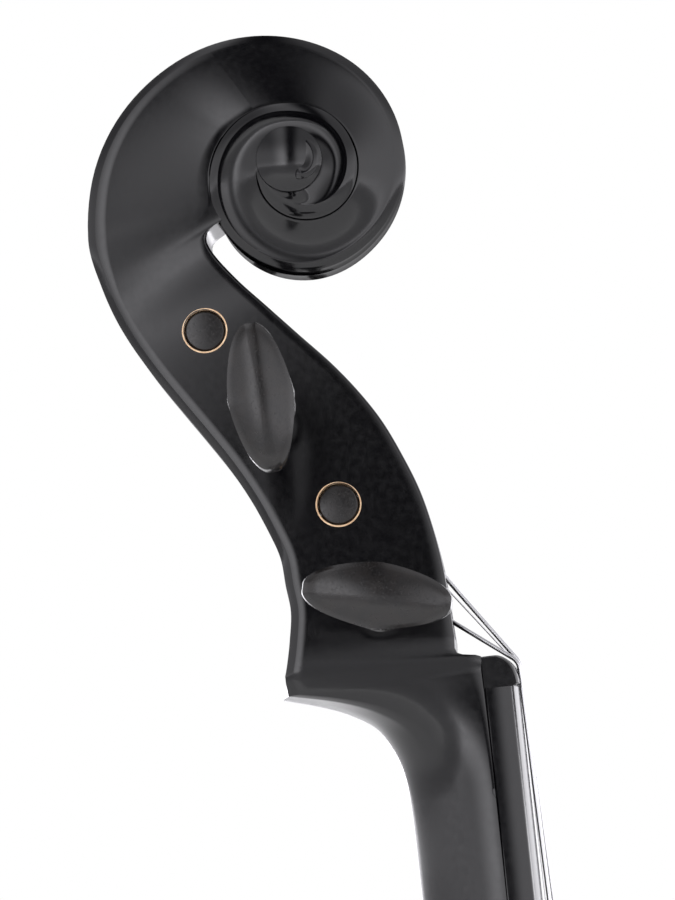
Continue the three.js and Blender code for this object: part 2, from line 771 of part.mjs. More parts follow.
// Pegs: a tapered shank with its collar, and a flattened grip with hollow faces
function buildPeg(name) {
  const cheek = cheekAt(name);
  const tip = -cheek + pegRecess;
  const collar = cheek + pegShoulder;
  const radius = (x) => pegTipRadius + ((x - tip) * pegTaper) / 2;
  const neck = 0.62 * collarRadius;
  const shank = turned(
    [
      [tip, pegTipRadius - 2 * seatGap],
      [tip + 2 * seatGap, radius(tip)],
      [collar, radius(collar)],
      [collar, collarRadius - 2 * seatGap],
      [collar + 0.3 * collarLength, collarRadius],
      [collar + 0.7 * collarLength, collarRadius],
      [collar + collarLength, collarRadius - 2 * seatGap],
      [collar + collarLength, neck],
      [collar + 2 * collarLength, neck],
    ],
    16,
  );
  const stations = [
    [0, 0.28, 0.6],
    [0.15, 0.42, 0.66],
    [0.38, 0.78, 0.8],
    [0.62, 0.97, 0.9],
    [0.85, 1, 1],
    [1, 0.93, 0.86],
  ];
  const start = collar + collarLength;
  const outline = [
    [1, 0.12],
    [0.86, 0.42],
    [0.55, 0.78],
    [0, 1],
  ];
  const right = [...outline, ...outline.slice(0, 3).reverse().map(([a, b]) => [-a, b])];
  const full = [...right, ...right.map(([a, b]) => [-a, -b])];
  const rings = stations.map(([out, wide, thick]) => {
    const dish = 0.3 * Math.sin(Math.PI * out);
    return full.map(([a, b]) => {
      const along = 0.5 * gripWidth * wide * a;
      const hollow = 1 - dish * (1 - Math.abs(2 * Math.abs(a) - 1));
      return vector(start + out * gripHeight, along, 0.5 * gripThickness * thick * b * hollow);
    });
  });
  const grip = solidOf(loft(rings)).rotate([pegAngles[name], 0, 0]);
  const whole = join(shank, grip);
  return pegSide[name] < 0 ? whole.mirror([1, 0, 0]) : whole;
}

// The string wound on a peg: one tube, its turns side by side, which starts where the string arrives.
function windingPath(i) {
  const name = stringNames[i];
  const [y, z] = pegPlace(name);
  const meeting = pegMeeting(i);
  const steps = 16;
  const pitch = windingPitch(i);
  const side = pegSide[name];
  const startX = meeting.point.x + side * pitch * windingLead;
  const path = [];
  for (let k = 0; k <= steps * windingTurns; k++) {
    const x = startX + (side * pitch * k) / steps;
    const angle = (2 * Math.PI * k) / steps;
    const radius = windingRadius(name, x);
    const out = meeting.normal.clone().multiplyScalar(Math.cos(angle));
    out.addScaledVector(meeting.run, Math.sin(angle));
    path.push(vector(x, y, z).addScaledVector(out, radius));
  }
  const end = path[path.length - 1];
  const before = path[path.length - 2];
  const heading = end.clone().sub(before).normalize();
  path.push(end.clone().addScaledVector(heading, 2 * stringRadii[i]));
  const lead = path[0].clone().sub(path[1]).normalize();
  path.unshift(path[0].clone().addScaledVector(lead, 2 * stringRadii[i]));
  return path;
}

// The least gap between the turns of a winding, measured on the points of its path.
function leastGap(path, radius) {
  let least = Infinity;
  const apart = 10;
  for (let a = 0; a < path.length; a++) {
    for (let b = a + apart; b < path.length; b++) least = Math.min(least, path[a].distanceTo(path[b]));
  }
  return least - 2 * radius;
}

// Body: a core with rolled edges that carries the neck, and an arm for each bout
const coreBassShares = [0.5, 0.8, 0.86, 0.8, 0.72, 0.68, 0.7, 0.8, 0.92, 1, 1.02, 1, 0.93];
const coreTrebleShares = [0.5, 0.9, 0.98, 0.9, 0.78, 0.74, 0.84, 1.02, 1.04, 1.04, 1.02, 0.88, 0.56];
const trebleArmShares = [
  [0.21, 0.05],
  [0.6, 0.042],
  [0.87, 0.085],
  [1, 0.165],
  [0.95, 0.245],
  [0.8, 0.32],
  [0.62, 0.385],
  [0.46, 0.45],
  [0.26, 0.51],
];
const bassArmShares = [
  [0.2, 0.525],
  [0.48, 0.56],
  [0.78, 0.62],
  [0.96, 0.705],
  [1, 0.795],
  [0.95, 0.88],
  [0.8, 0.94],
  [0.55, 0.967],
  [0.25, 0.962],
];

const quarter = [0, 30, 60, 90].map(THREE.MathUtils.degToRad);

function coreSection(z, inset) {
  const place = ((topZ - z) / bodyLength) * (coreBassShares.length - 1);
  const bass = -Math.min(fromTable(coreBassShares, place), 1) * coreHalfWidth + inset;
  const treble = Math.min(fromTable(coreTrebleShares, place), 1) * coreHalfWidth - inset;
  const front = frontY + inset;
  const back = backY - inset;
  const corner = (x, y, radius, sideX, sideY, from) =>
    quarter.map((turn) => {
      const angle = from ? turn : Math.PI / 2 - turn;
      const out = radius * (1 - Math.cos(angle));
      const up = radius * (1 - Math.sin(angle));
      return vector(x - sideX * out, y - sideY * up, z);
    });
  return [
    ...corner(treble, front, coreFrontRadius, 1, -1, false),
    ...corner(treble, back, coreBackRadius, 1, 1, true),
    ...corner(bass, back, coreBackRadius, -1, 1, false),
    ...corner(bass, front, coreFrontRadius, -1, -1, true),
  ];
}

function buildCore() {
  const sections = 19;
  const bevel = 0.3 * coreFrontRadius;
  const rings = Array.from({ length: sections }, (_, i) =>
    coreSection(topZ - bevel - ((bodyLength - 2 * bevel) * i) / (sections - 1), 0),
  );
  return solidOf(loft([coreSection(topZ, bevel), ...rings, coreSection(tailZ, bevel)]));
}

// An arm follows its path in the plane of the body, wider where it grows out of the core.
function buildArm(shares, reach) {
  const middle = (frontY + backY) / 2;
  const route = shares.map(([across, down]) => [across * reach, topZ - down * bodyLength]);
  const line = smooth(route, 18);
  const half = armThickness / 2;
  const rings = line.map((p, i) => {
    const before = line[Math.max(i - 1, 0)];
    const after = line[Math.min(i + 1, line.length - 1)];
    const along = after.clone().sub(before).normalize();
    const share = Math.abs((2 * i) / (line.length - 1) - 1);
    const wide = mix(armWidth, armRootWidth, share ** 3) / 2;
    const soft = armCorner * 0.3;
    const outline = [
      [wide, half - armCorner],
      [wide - soft, half - soft],
      [wide - armCorner, half],
    ];
    const mirrorAcross = outline.map(([a, b]) => [-a, b]).reverse();
    const upper = [...outline, ...mirrorAcross];
    const ring = [...upper, ...upper.map(([a, b]) => [-a, -b])];
    return ring.map(([across, deep]) =>
      vector(p.x - along.y * across, middle + deep, p.y + along.x * across),
    );
  });
  return solidOf(loft(rings));
}

// A plate or pocket with rounded corners in the plane of the back, between two depths.
function roundedPlate(centre, half, corner, nearY, farY) {
  const [a, b] = [half[0] - corner, half[1] - corner];
  const outline = [0, 1, 2, 3].flatMap((q) =>
    quarter.map((turn) => {
      const angle = turn + (q * Math.PI) / 2;
      const sx = q === 0 || q === 3 ? 1 : -1;
      const sz = q < 2 ? 1 : -1;
      return [sx * a + corner * Math.cos(angle), sz * b + corner * Math.sin(angle)];
    }),
  );
  const ring = (y) => outline.map(([x, z]) => vector(centre[0] + x, y, centre[1] + z));
  return solidOf(loft([ring(nearY), ring(farY)]));
}

// A round hole or pin along an axis, from one end to the other.
function rod(axis, at, from, to, radius, sides = 16) {
  const shape = turned([[from, radius], [to, radius]], sides);
  const turn = { x: [0, 0, 0], y: [0, 0, 90], z: [0, -90, 0] }[axis];
  return shape.rotate(turn).translate(at);
}

const cavityCentre = [(cavityLeft + sideX - sideWallThickness) / 2, cavityZ];
const cavityHalf = [(sideX - sideWallThickness - cavityLeft) / 2, cavityHalfLength];
const coverHalf = cavityHalf.map((half) => half + coverMargin);
const coverSeatY = backY - coverThickness - seatGap;
const cavityFloorY = frontY + frontWallThickness;
const coverScrewPlaces = [
  [-1, -1],
  [1, -1],
  [-1, 1],
  [1, 1],
].map(([x, z]) => [
  cavityCentre[0] + x * (coverHalf[0] - coverMargin * 0.85),
  cavityCentre[1] + z * (coverHalf[1] - coverMargin * 0.85),
]);
const boxFlangeHalf = [boxHalfWidth + boxFlange, boxHalfLength + boxFlange];
const pickupSeatY = frontY - seatGap;
const buttonY = frontY + 0.5 * bodyThickness;

function buildBody() {
  const treble = buildArm(trebleArmShares, upperBoutHalfWidth - armWidth / 2);
  const bass = buildArm(bassArmShares, -(lowerBoutHalfWidth - armWidth / 2));
  const whole = join(buildCore(), treble, bass);
  const beyondBack = backY + cutOverrun;
  const beyondSide = sideX + cutOverrun;
  const mortise = block(
    [-tenonHalfWidth - seatGap, frontY - cutOverrun, topZ - tenonLength - seatGap],
    [tenonHalfWidth + seatGap, frontY + tenonDepth + seatGap, topZ + cutOverrun],
  );
  const cavity = roundedPlate(cavityCentre, cavityHalf, coverCorner, cavityFloorY, beyondBack);
  const rebateHalf = coverHalf.map((half) => half + seatGap);
  const rebate = roundedPlate(cavityCentre, rebateHalf, coverCorner, coverSeatY, beyondBack);
  const boxHole = [boxHalfWidth + seatGap, boxHalfLength + seatGap];
  const well = roundedPlate(boxCentre, boxHole, boxWall, backY - boxDepth - seatGap, beyondBack);
  const seatHalf = boxFlangeHalf.map((half) => half + seatGap);
  const flangeSeatY = backY - boxFlange - seatGap;
  const flangeSeat = roundedPlate(boxCentre, seatHalf, boxFlange, flangeSeatY, beyondBack);
  const screwHoles = coverScrewPlaces.map(([x, z]) =>
    rod("y", [x, 0, z], coverSeatY - coverScrewLength, backY, coverScrewShank + seatGap, 8),
  );
  const inner = sideX - sideWallThickness - cutOverrun;
  const potHoles = controlZ.map((z) =>
    rod("x", [0, controlY, z], inner, beyondSide, potBushRadius + seatGap),
  );
  const jackEnd = sideX - jackDepth - seatGap;
  const jackHole = rod("x", [0, controlY, jackZ], jackEnd, beyondSide, jackRadius + seatGap);
  const buttonHole = rod(
    "z",
    [0, buttonY, 0],
    tailZ - cutOverrun,
    tailZ + buttonShank + seatGap,
    buttonShankRadius + seatGap,
  );
  const saddleSeat = block(
    [-saddleHalfWidth - seatGap, frontY - cutOverrun, tailZ - cutOverrun],
    [saddleHalfWidth + seatGap, frontY + saddleDepth + seatGap, tailZ + saddleThickness + seatGap],
  );
  const tools = [mortise, cavity, rebate, well, flangeSeat, jackHole, buttonHole, saddleSeat];
  return cut(whole, ...tools, ...potHoles, ...screwHoles);
}

// Bridge: the cut-out blank, thinned towards its top, and the pickup bar under its feet
const bridgeFootY = frontY - 2 * seatGap - pickupThickness;
const bridgeOutlineShares = [
  [0.4, 0],
  [1, 0],
  [1, 0.05],
  [0.84, 0.115],
  [0.6, 0.18],
  [0.48, 0.28],
  [0.46, 0.38],
  [0.62, 0.425],
  [0.8, 0.47],
  [0.86, 0.58],
  [0.8, 0.68],
  [0.86, 0.79],
  [0.86, 0.885],
];
const bridgeArchShares = [
  [0.33, 0.1],
  [0.18, 0.165],
  [0, 0.185],
];
const bridgeHeartShares = [
  [0, 0.5],
  [0.15, 0.61],
  [0.19, 0.69],
  [0.12, 0.74],
  [0, 0.7],
];
const bridgeEyeShares = [
  [0.42, 0.52],
  [0.6, 0.53],
  [0.66, 0.6],
  [0.52, 0.635],
  [0.4, 0.585],
];

function buildBridge() {
  const height = bridgeFootY - crownY;
  const half = bridgeWidth / 2;
  const place = ([across, up]) => new THREE.Vector2(across * half, up * height);
  const mirrored = (points) => points.map((p) => new THREE.Vector2(-p.x, p.y)).reverse();
  const side = bridgeOutlineShares.map(place);
  const shoulder = side[side.length - 1].x;
  const crown = [0.66, 0.33, 0, -0.33, -0.66].map((share) => {
    const x = share * shoulder;
    return new THREE.Vector2(x, height - sagitta(x, boardRadius));
  });
  side[side.length - 1].y = height - sagitta(shoulder, boardRadius);
  const arch = bridgeArchShares.map(place);
  const outline = [...side, ...crown, ...mirrored(side), ...mirrored(arch), ...arch.slice(0, -1).reverse()];
  const heart = bridgeHeartShares.map(place);
  const eye = bridgeEyeShares.map(place);
  const holes = [[...heart, ...mirrored(heart).slice(1, -1)], eye, mirrored(eye)];
  const blank = solidOf(slab(outline, bridgeFootThickness, holes));
  const wedge = [0, height + cutOverrun].map((up, i) => {
    const thick = (i ? bridgeTopThickness : bridgeFootThickness) / 2;
    const wide = half + cutOverrun;
    return [
      vector(-wide, up, -thick),
      vector(wide, up, -thick),
      vector(wide, up, thick),
      vector(-wide, up, thick),
    ];
  });
  const tapered = blank.intersect(solidOf(loft(wedge)));
  const placed = tapered.rotate([180, 0, 0]).translate([0, bridgeFootY, bridgeZ]);
  return cut(placed, ...stringNames.map((name, i) => stringRoom(i)));
}

function buildPickup() {
  const half = [pickupLength / 2, pickupWidth / 2];
  return roundedPlate([0, bridgeZ], half, 0.3 * pickupWidth, pickupSeatY - pickupThickness, pickupSeatY);
}

// Tailpiece, in a frame of its own: x across, y down towards the body from the strings' line, and z
// towards the bridge, with its origin at the end nearest the bridge. Its other end stands clear of the
// saddle, with the gut's holes level with the gut over the saddle.
const gutHoleY = tailpieceTop + 0.5 * tailpieceTailThickness;
const tailpieceEndY = gutOverY - gutHoleY;
const tailpieceHeadY = crownY + afterDrop;
const tailpieceLean = Math.asin((tailpieceEndY - tailpieceHeadY) / tailpieceLength);
const tailpieceEndZ = tailZ + saddleThickness + tailpieceClearance;
const tailpieceHeadZ = tailpieceEndZ + tailpieceLength * Math.cos(tailpieceLean);
const tailpieceHead = vector(0, tailpieceHeadY, tailpieceHeadZ);
const fromTailpiece = (point) =>
  point.clone().applyAxisAngle(vector(1, 0, 0), tailpieceLean).add(tailpieceHead);
const plateUnder = tailpieceTop + plateThickness;
const armTop = plateUnder + seatGap + runningGap + screwTravel;
const armThick = 2 * axleRadius;
const axleY = armTop + axleRadius;
const axleZ = -axleInset;
const hubRadius = 2.2 * axleRadius;
const armEndZ = axleZ - leverArm;
const screwZ = armEndZ + 0.5 * leverWidth;
const ballZ = axleZ - hookThickness / 2 - seatGap - ballRadius;
const tunerX = (i) => stringPlace(i) * tunerSpacing;
const pocketHalf = tunerX(stringNames.length - 1) + leverWidth / 2 + 2 * runningGap;

function hookPoint(i) {
  return fromTailpiece(vector(tunerX(i), 0, ballZ));
}

function buildTailpiece() {
  const stations = [
    [0, 0.97, 0],
    [0.02, 1, 0],
    [0.1, 1, 0],
    [0.34, 0.965, 0],
    [0.5, 0.85, 0.45],
    [0.66, 0.71, 0.8],
    [0.82, 0.6, 0.95],
    [0.95, 0.53, 1],
    [1, 0.44, 1],
  ];
  const rings = stations.map(([down, wide, thin]) => {
    const half = wide * tailpieceHeadHalfWidth;
    const thickness = mix(tailpieceThickness, tailpieceTailThickness, thin);
    const arch = tailpieceArch * wide;
    const z = -down * tailpieceLength;
    const top = [-1, -0.75, -0.4, 0, 0.4, 0.75, 1].map((share) =>
      vector(share * half, tailpieceTop + arch * share * share, z),
    );
    const under = [1, 0.9, -0.9, -1].map((share) => {
      const soft = Math.abs(share) === 1 ? arch : 0;
      return vector(share * half, tailpieceTop + thickness - soft, z);
    });
    return [...top, ...under];
  });
  const shell = solidOf(loft(rings));
  const pocket = block(
    [-pocketHalf, plateUnder, -pocketLength],
    [pocketHalf, tailpieceTop + tailpieceThickness + cutOverrun, axleZ + hubRadius + runningGap],
  );
  const reach = tailpieceHeadHalfWidth + cutOverrun;
  const axleHole = rod("x", [0, axleY, axleZ], -reach, reach, axleRadius + seatGap, 12);
  const slots = [];
  const screws = [];
  stringNames.forEach((name, i) => {
    const half = leverWidth / 2 + runningGap;
    const swing = (screwTravel / leverArm) * (axleY - tailpieceTop);
    slots.push(
      block(
        [tunerX(i) - half, -cutOverrun, axleZ - hookThickness / 2 - 2 * runningGap],
        [tunerX(i) + half, plateUnder + cutOverrun, axleZ + hookThickness / 2 + swing + 2 * runningGap],
      ),
    );
    const through = plateUnder + cutOverrun;
    screws.push(rod("y", [tunerX(i), 0, screwZ], -cutOverrun, through, screwRadius + runningGap, 8));
  });
  const gutHoles = [-1, 1].map((side) =>
    rod(
      "z",
      [side * gutHalfSpacing, gutHoleY, 0],
      -tailpieceLength - cutOverrun,
      -tailpieceLength + gutGrip,
      gutRadius + seatGap,
      12,
    ),
  );
  return cut(shell, pocket, axleHole, ...slots, ...screws, ...gutHoles);
}

function buildAxle() {
  const reach = tailpieceHeadHalfWidth - 3 * seatGap;
  return rod("x", [0, axleY, axleZ], -reach, reach, axleRadius, 12);
}

// A lever: its hook holds the string's ball, and the screw presses the end of its long arm.
function buildLever() {
  const half = hookThickness / 2;
  const bend = 0.7 * hubRadius;
  const outline = [
    [axleZ + half, -hookRise],
    [axleZ - half, -hookRise],
    [axleZ - half, armTop - bend],
    [axleZ - half - bend, armTop],
    [armEndZ, armTop],
    [armEndZ, armTop + armThick],
    [axleZ - hubRadius, armTop + armThick],
    [axleZ - 0.5 * hubRadius, axleY + hubRadius],
    [axleZ + 0.5 * hubRadius, axleY + hubRadius],
    [axleZ + hubRadius, axleY + 0.4 * hubRadius],
    [axleZ + hubRadius, axleY - 0.4 * hubRadius],
    [axleZ + half, axleY - hubRadius],
  ].map(([z, y]) => new THREE.Vector2(z, y));
  const plate = solidOf(slab(outline, leverWidth)).rotate([0, -90, 0]);
  const fork = block(
    [-2.2 * stringRadii[0], -hookRise - cutOverrun, axleZ - cutOverrun],
    [2.2 * stringRadii[0], 2.2 * stringRadii[0], axleZ + cutOverrun],
  );
  const eye = rod("x", [0, axleY, axleZ], -leverWidth, leverWidth, axleRadius + runningGap, 12);
  return cut(plate, fork, eye);
}

const headBase = tailpieceTop - 2 * runningGap;
const shankTop = headBase - 0.6 * screwHeadHeight;

function buildShank() {
  return rod("y", [0, 0, 0], shankTop, armTop - seatGap, screwRadius, 10);
}

function buildTunerHead() {
  const soft = 0.12 * screwHeadRadius;
  const top = headBase - screwHeadHeight;
  const profile = [
    [top, 0.55 * screwHeadRadius],
    [top + soft, screwHeadRadius - soft],
    [top + 2 * soft, screwHeadRadius],
    [headBase - 0.35 * screwHeadHeight, screwHeadRadius],
    [headBase - 0.3 * screwHeadHeight, 0.6 * screwHeadRadius],
    [headBase, 0.6 * screwHeadRadius],
  ];
  const boreEnd = headBase + cutOverrun;
  const bore = rod("y", [0, 0, 0], shankTop - runningGap, boreEnd, screwRadius + runningGap, 10);
  return cut(turned(profile, 12).rotate([0, 0, 90]), bore);
}

// Tail end: saddle, end button and the gut loop that ties the tailpiece to it
function buildSaddle() {
  const soft = 0.3 * saddleThickness;
  const outerZ = tailZ;
  const innerZ = tailZ + saddleThickness;
  const profile = [
    [frontY + saddleDepth, outerZ],
    [crestY + 1.4 * soft, outerZ],
    [crestY + 0.4 * soft, outerZ + 0.4 * soft],
    [crestY, outerZ + 1.4 * soft],
    [crestY + 0.5 * soft, innerZ - soft],
    [crestY + 2 * soft, innerZ],
    [frontY + saddleDepth, innerZ],
  ];
  const rings = [-1, -0.8, 0.8, 1].map((share) => {
    const lower = Math.abs(share) === 1 ? 0.55 : 1;
    return profile.map(([y, z]) => {
      const height = y < frontY ? frontY + (y - frontY) * lower : y;
      return vector(share * saddleHalfWidth, height, z);
    });
  });
  return solidOf(loft(rings));
}

const buttonFlangeZ = tailZ - seatGap;
const buttonNeckZ = buttonFlangeZ - buttonFlange;
const buttonHeadZ = buttonNeckZ - buttonNeck;

function buildButton() {
  const profile = [
    [tailZ + buttonShank, 0.85 * buttonShankRadius],
    [buttonFlangeZ, buttonShankRadius],
    [buttonFlangeZ, buttonFlangeRadius],
    [buttonNeckZ, buttonFlangeRadius],
    [buttonNeckZ, buttonNeckRadius],
    [buttonHeadZ, buttonNeckRadius],
    [buttonHeadZ - 0.1 * buttonHead, 0.92 * buttonHeadRadius],
    [buttonHeadZ - 0.35 * buttonHead, buttonHeadRadius],
    [buttonHeadZ - 0.7 * buttonHead, 0.9 * buttonHeadRadius],
    [buttonHeadZ - buttonHead, 0.45 * buttonHeadRadius],
  ];
  return turned(profile, 16).rotate([0, -90, 0]).translate([0, buttonY, 0]);
}

function buildTailgut() {
  const wrap = buttonNeckRadius + seatGap + gutRadius;
  const legZ = (buttonNeckZ + buttonHeadZ) / 2;
  const corner = gutRadius * 2;
  const leg = (side) => {
    const hole = [-tailpieceLength + 0.8 * gutGrip, -tailpieceLength - 0.5 * gutRadius].map((z) =>
      fromTailpiece(vector(side * gutHalfSpacing, gutHoleY, z)),
    );
    return [
      ...hole,
      vector(side * gutHalfSpacing, gutOverY, tailZ + 0.7 * saddleThickness),
      vector(side * gutHalfSpacing, gutOverY, tailZ + 0.25 * saddleThickness),
      vector(side * gutHalfSpacing, gutOverY + 0.4 * corner, mix(tailZ, legZ, 0.35)),
      vector(side * gutHalfSpacing, gutOverY + 1.3 * corner, mix(tailZ, legZ, 0.8)),
      vector(side * gutHalfSpacing, gutOverY + 2.6 * corner, legZ),
    ];
  };
  const turnCount = 8;
  const bend = Array.from({ length: turnCount + 1 }, (_, i) => {
    const turn = (Math.PI * i) / turnCount;
    return vector(wrap * Math.cos(turn), buttonY + wrap * Math.sin(turn), legZ);
  });
  return tube([...leg(1), ...bend, ...leg(-1).reverse()], gutRadius, 6);
}

// Chinrest: a dished cup on the bass side, with a lug that its clamp holds to the tail edge
const plateSeatY = frontY - 2 * seatGap - corkThickness;
const lugCentre = (clampX[0] + clampX[1]) / 2;
const clampZ = tailZ - clampStandoff;
const lugEndZ = clampZ - barrelRadius;

function buildChinrest() {
  const sides = 24;
  const profile = [
    [0.25, 0],
    [0.72, 0.02],
    [0.9, 0.3],
    [0.985, 0.7],
    [1, 0.92],
    [0.965, 1],
    [0.9, 0.93],
    [0.72, 1 - 0.8 * (cupDish / cupRimHeight)],
    [0.4, 1 - cupDish / cupRimHeight],
    [0.12, 0.98 - cupDish / cupRimHeight],
  ];
  const rings = profile.map(([out, up]) =>
    Array.from({ length: sides }, (_, k) => {
      const turn = (2 * Math.PI * k) / sides;
      const x = cupCentre[0] + out * cupHalfWidth * Math.cos(turn);
      const z = cupCentre[1] + out * cupHalfLength * Math.sin(turn);
      return vector(x, plateSeatY - up * cupRimHeight, z);
    }),
  );
  const cup = solidOf(loft(rings));
  const lugHalf = [lugWidth / 2, (cupCentre[1] - 0.45 * cupHalfLength - lugEndZ) / 2];
  const lug = roundedPlate(
    [lugCentre, lugEndZ + lugHalf[1]],
    lugHalf,
    0.5 * lugThickness,
    plateSeatY - lugThickness,
    plateSeatY,
  );
  return join(cup, lug);
}

function buildChinrestCork() {
  const near = cupCentre[1] - 0.75 * cupHalfLength;
  const half = [0.46 * lugWidth, (near - tailZ - 2 * seatGap) / 2];
  const centre = [lugCentre, tailZ + 2 * seatGap + half[1]];
  const nearY = frontY - seatGap - corkThickness;
  return roundedPlate(centre, half, 0.5 * corkThickness, nearY, nearY + corkThickness);
}

const barrelTopY = frontY + 2 * clampPlate;
const barrelEndY = backY - 2 * clampPlate;
const lugPlateHalf = 0.46 * lugWidth;

// A clamp plate over the lug with a stud for each barrel, which starts inside the plate.
function plateWithStuds(halfLength, nearY, studFromY, studToY) {
  const centre = [lugCentre, lugEndZ + halfLength];
  const half = [lugPlateHalf, halfLength];
  const plate = roundedPlate(centre, half, 0.5 * clampPlate, nearY, nearY + clampPlate);
  const studs = clampX.map((x) => rod("y", [x, 0, clampZ], studFromY, studToY, studRadius, 12));
  return join(plate, ...studs);
}

function buildBracket() {
  const topY = plateSeatY + seatGap;
  const halfLength = (tailZ - 2 * seatGap - lugEndZ) / 2;
  return plateWithStuds(halfLength, topY, topY + 0.5 * clampPlate, mix(barrelTopY, barrelEndY, 0.4));
}

function buildBarrel() {
  const barrel = rod("y", [0, 0, 0], barrelTopY, barrelEndY, barrelRadius, 12);
  const bore = rod("y", [0, 0, 0], barrelTopY - cutOverrun, barrelEndY + cutOverrun, barrelBore, 10);
  const middle = [0, (barrelTopY + barrelEndY) / 2, 0];
  const key = rod("x", middle, -2 * barrelRadius, 2 * barrelRadius, 0.4 * barrelRadius, 10);
  return cut(barrel, bore, key);
}

const footCork = 0.6 * corkThickness;

function buildFoot() {
  const nearY = backY + 2 * seatGap + footCork;
  const halfLength = (2 * lugThickness + tailZ - lugEndZ) / 2;
  return plateWithStuds(halfLength, nearY, mix(barrelTopY, barrelEndY, 0.55), nearY + 0.5 * clampPlate);
}

function buildFootCork() {
  const half = [0.44 * lugWidth, lugThickness - 2 * seatGap];
  const centre = [lugCentre, tailZ + 4 * seatGap + half[1]];
  return roundedPlate(centre, half, 0.5 * corkThickness, backY + seatGap, backY + seatGap + footCork);
}

// Electronics: cover and screws, preamplifier board, two pots with their knobs, jack and battery
function buildCover() {
  const plate = roundedPlate(cavityCentre, coverHalf, coverCorner, backY - coverThickness, backY);
  const sunk = 0.65 * coverThickness;
  const under = backY - coverThickness - cutOverrun;
  const beyond = backY + cutOverrun;
  const holes = coverScrewPlaces.flatMap(([x, z]) => [
    rod("y", [x, 0, z], backY - sunk, beyond, coverScrewRadius + seatGap, 10),
    rod("y", [x, 0, z], under, beyond, coverScrewShank + seatGap, 8),
  ]);
  return cut(plate, ...holes);
}

function buildCoverScrew() {
  const under = backY - 0.65 * coverThickness + seatGap;
  const top = backY;
  const tip = coverSeatY - coverScrewLength + seatGap;
  const shape = turned(
    [
      [tip, 0.5 * coverScrewShank],
      [tip + 2 * coverScrewShank, coverScrewShank],
      [under, coverScrewShank],
      [under, coverScrewRadius],
      [top, 0.85 * coverScrewRadius],
    ],
    8,
  ).rotate([0, 0, 90]);
  const slot = block(
    [-coverScrewRadius, top - 0.3 * coverThickness, -0.25 * coverScrewShank],
    [coverScrewRadius, top + cutOverrun, 0.25 * coverScrewShank],
  );
  return cut(shape, slot);
}

const potFaceX = sideX - sideWallThickness - seatGap;
const potNutX = sideX + seatGap;
const knobX = potNutX + potNut + runningGap;
const shaftStartX = potFaceX - 0.7 * potDepth;
const shaftEndX = knobX + 0.7 * knobHeight;

function buildPreamp() {
  const nearY = cavityFloorY + seatGap;
  const [halfX, halfZ] = cavityHalf;
  const left = cavityCentre[0] - halfX + 2 * boardThickness;
  const right = potFaceX - potDepth - boardThickness;
  const low = cavityCentre[1] - halfZ + 2 * boardThickness;
  const high = cavityCentre[1] + halfZ - 2 * boardThickness;
  const wide = right - left;
  const tall = high - low;
  const board = block([left, nearY, low], [right, nearY + boardThickness, high]);
  const chips = [
    [0.12, 0.15, 0.4, 0.32, 2],
    [0.55, 0.2, 0.78, 0.6, 3.5],
    [0.15, 0.6, 0.3, 0.85, 5],
  ].map(([x0, z0, x1, z1, rise]) =>
    block(
      [left + x0 * wide, nearY + 0.5 * boardThickness, low + z0 * tall],
      [left + x1 * wide, nearY + rise * boardThickness, low + z1 * tall],
    ),
  );
  return join(board, ...chips);
}

// A pot: its can inside the cavity, its threaded bush through the wall and the nut that holds it.
function buildPot() {
  const can = turned(
    [
      [potFaceX - potDepth, potRadius],
      [potFaceX, potRadius],
      [potFaceX, potBushRadius],
      [potNutX, potBushRadius],
    ],
    18,
  );
  const nut = rod("x", [0, 0, 0], potNutX, potNutX + potNut, 1.45 * potBushRadius, 6);
  const boreRadius = potShaftRadius + runningGap;
  const bore = rod("x", [0, 0, 0], shaftStartX - runningGap, knobX + cutOverrun, boreRadius, 14);
  return cut(join(can, nut), bore);
}

function buildPotShaft() {
  return rod("x", [0, 0, 0], shaftStartX, shaftEndX, potShaftRadius, 14);
}

function buildKnob() {
  const soft = 0.1 * knobHeight;
  const stations = [
    [knobX, 1, 0],
    [knobX + 0.2 * knobHeight, 1, 0],
    [knobX + 0.28 * knobHeight, 0.93, 1],
    [knobX + knobHeight - soft, 0.9, 1],
    [knobX + knobHeight, 0.78, 0.4],
  ];
  const rings = stations.map(([x, wide, fluted]) =>
    Array.from({ length: 2 * knobFlutes }, (_, k) => {
      const turn = (Math.PI * k) / knobFlutes;
      const radius = knobRadius * wide * (k % 2 ? 1 - 0.06 * fluted : 1);
      return vector(x, radius * Math.cos(turn), radius * Math.sin(turn));
    }),
  );
  const boreRadius = potShaftRadius + seatGap;
  const bore = rod("x", [0, 0, 0], knobX - cutOverrun, shaftEndX + seatGap, boreRadius, 14);
  return cut(solidOf(loft(rings)), bore);
}

const jackNutX = sideX + seatGap;
const jackEndX = jackNutX + jackNut + escutcheon;

function buildJack() {
  const body = turned(
    [
      [sideX - jackDepth, 0.8 * jackRadius],
      [sideX - jackDepth + 0.2 * jackRadius, jackRadius],
      [sideX, jackRadius],
      [sideX, jackBushRadius],
      [jackEndX, jackBushRadius],
    ],
    20,
  );
  const boreStart = sideX - jackDepth + 0.4 * jackRadius;
  const bore = rod("x", [0, 0, 0], boreStart, jackEndX + cutOverrun, jackBoreRadius, 20);
  return cut(body, bore);
}

// The jack's nut has a round flange that covers the edge of its hole.
function buildJackNut() {
  const flange = turned(
    [
      [jackNutX, escutcheonRadius],
      [jackNutX + 0.7 * escutcheon, escutcheonRadius],
      [jackNutX + escutcheon, 0.92 * escutcheonRadius],
    ],
    24,
  );
  const nutStart = jackNutX + 0.5 * escutcheon;
  const nut = rod("x", [0, 0, 0], nutStart, jackEndX - seatGap, 1.5 * jackBushRadius, 6);
  const boreRadius = jackBushRadius + seatGap;
  const bore = rod("x", [0, 0, 0], jackNutX - cutOverrun, jackEndX + cutOverrun, boreRadius, 20);
  return cut(join(flange, nut), bore);
}

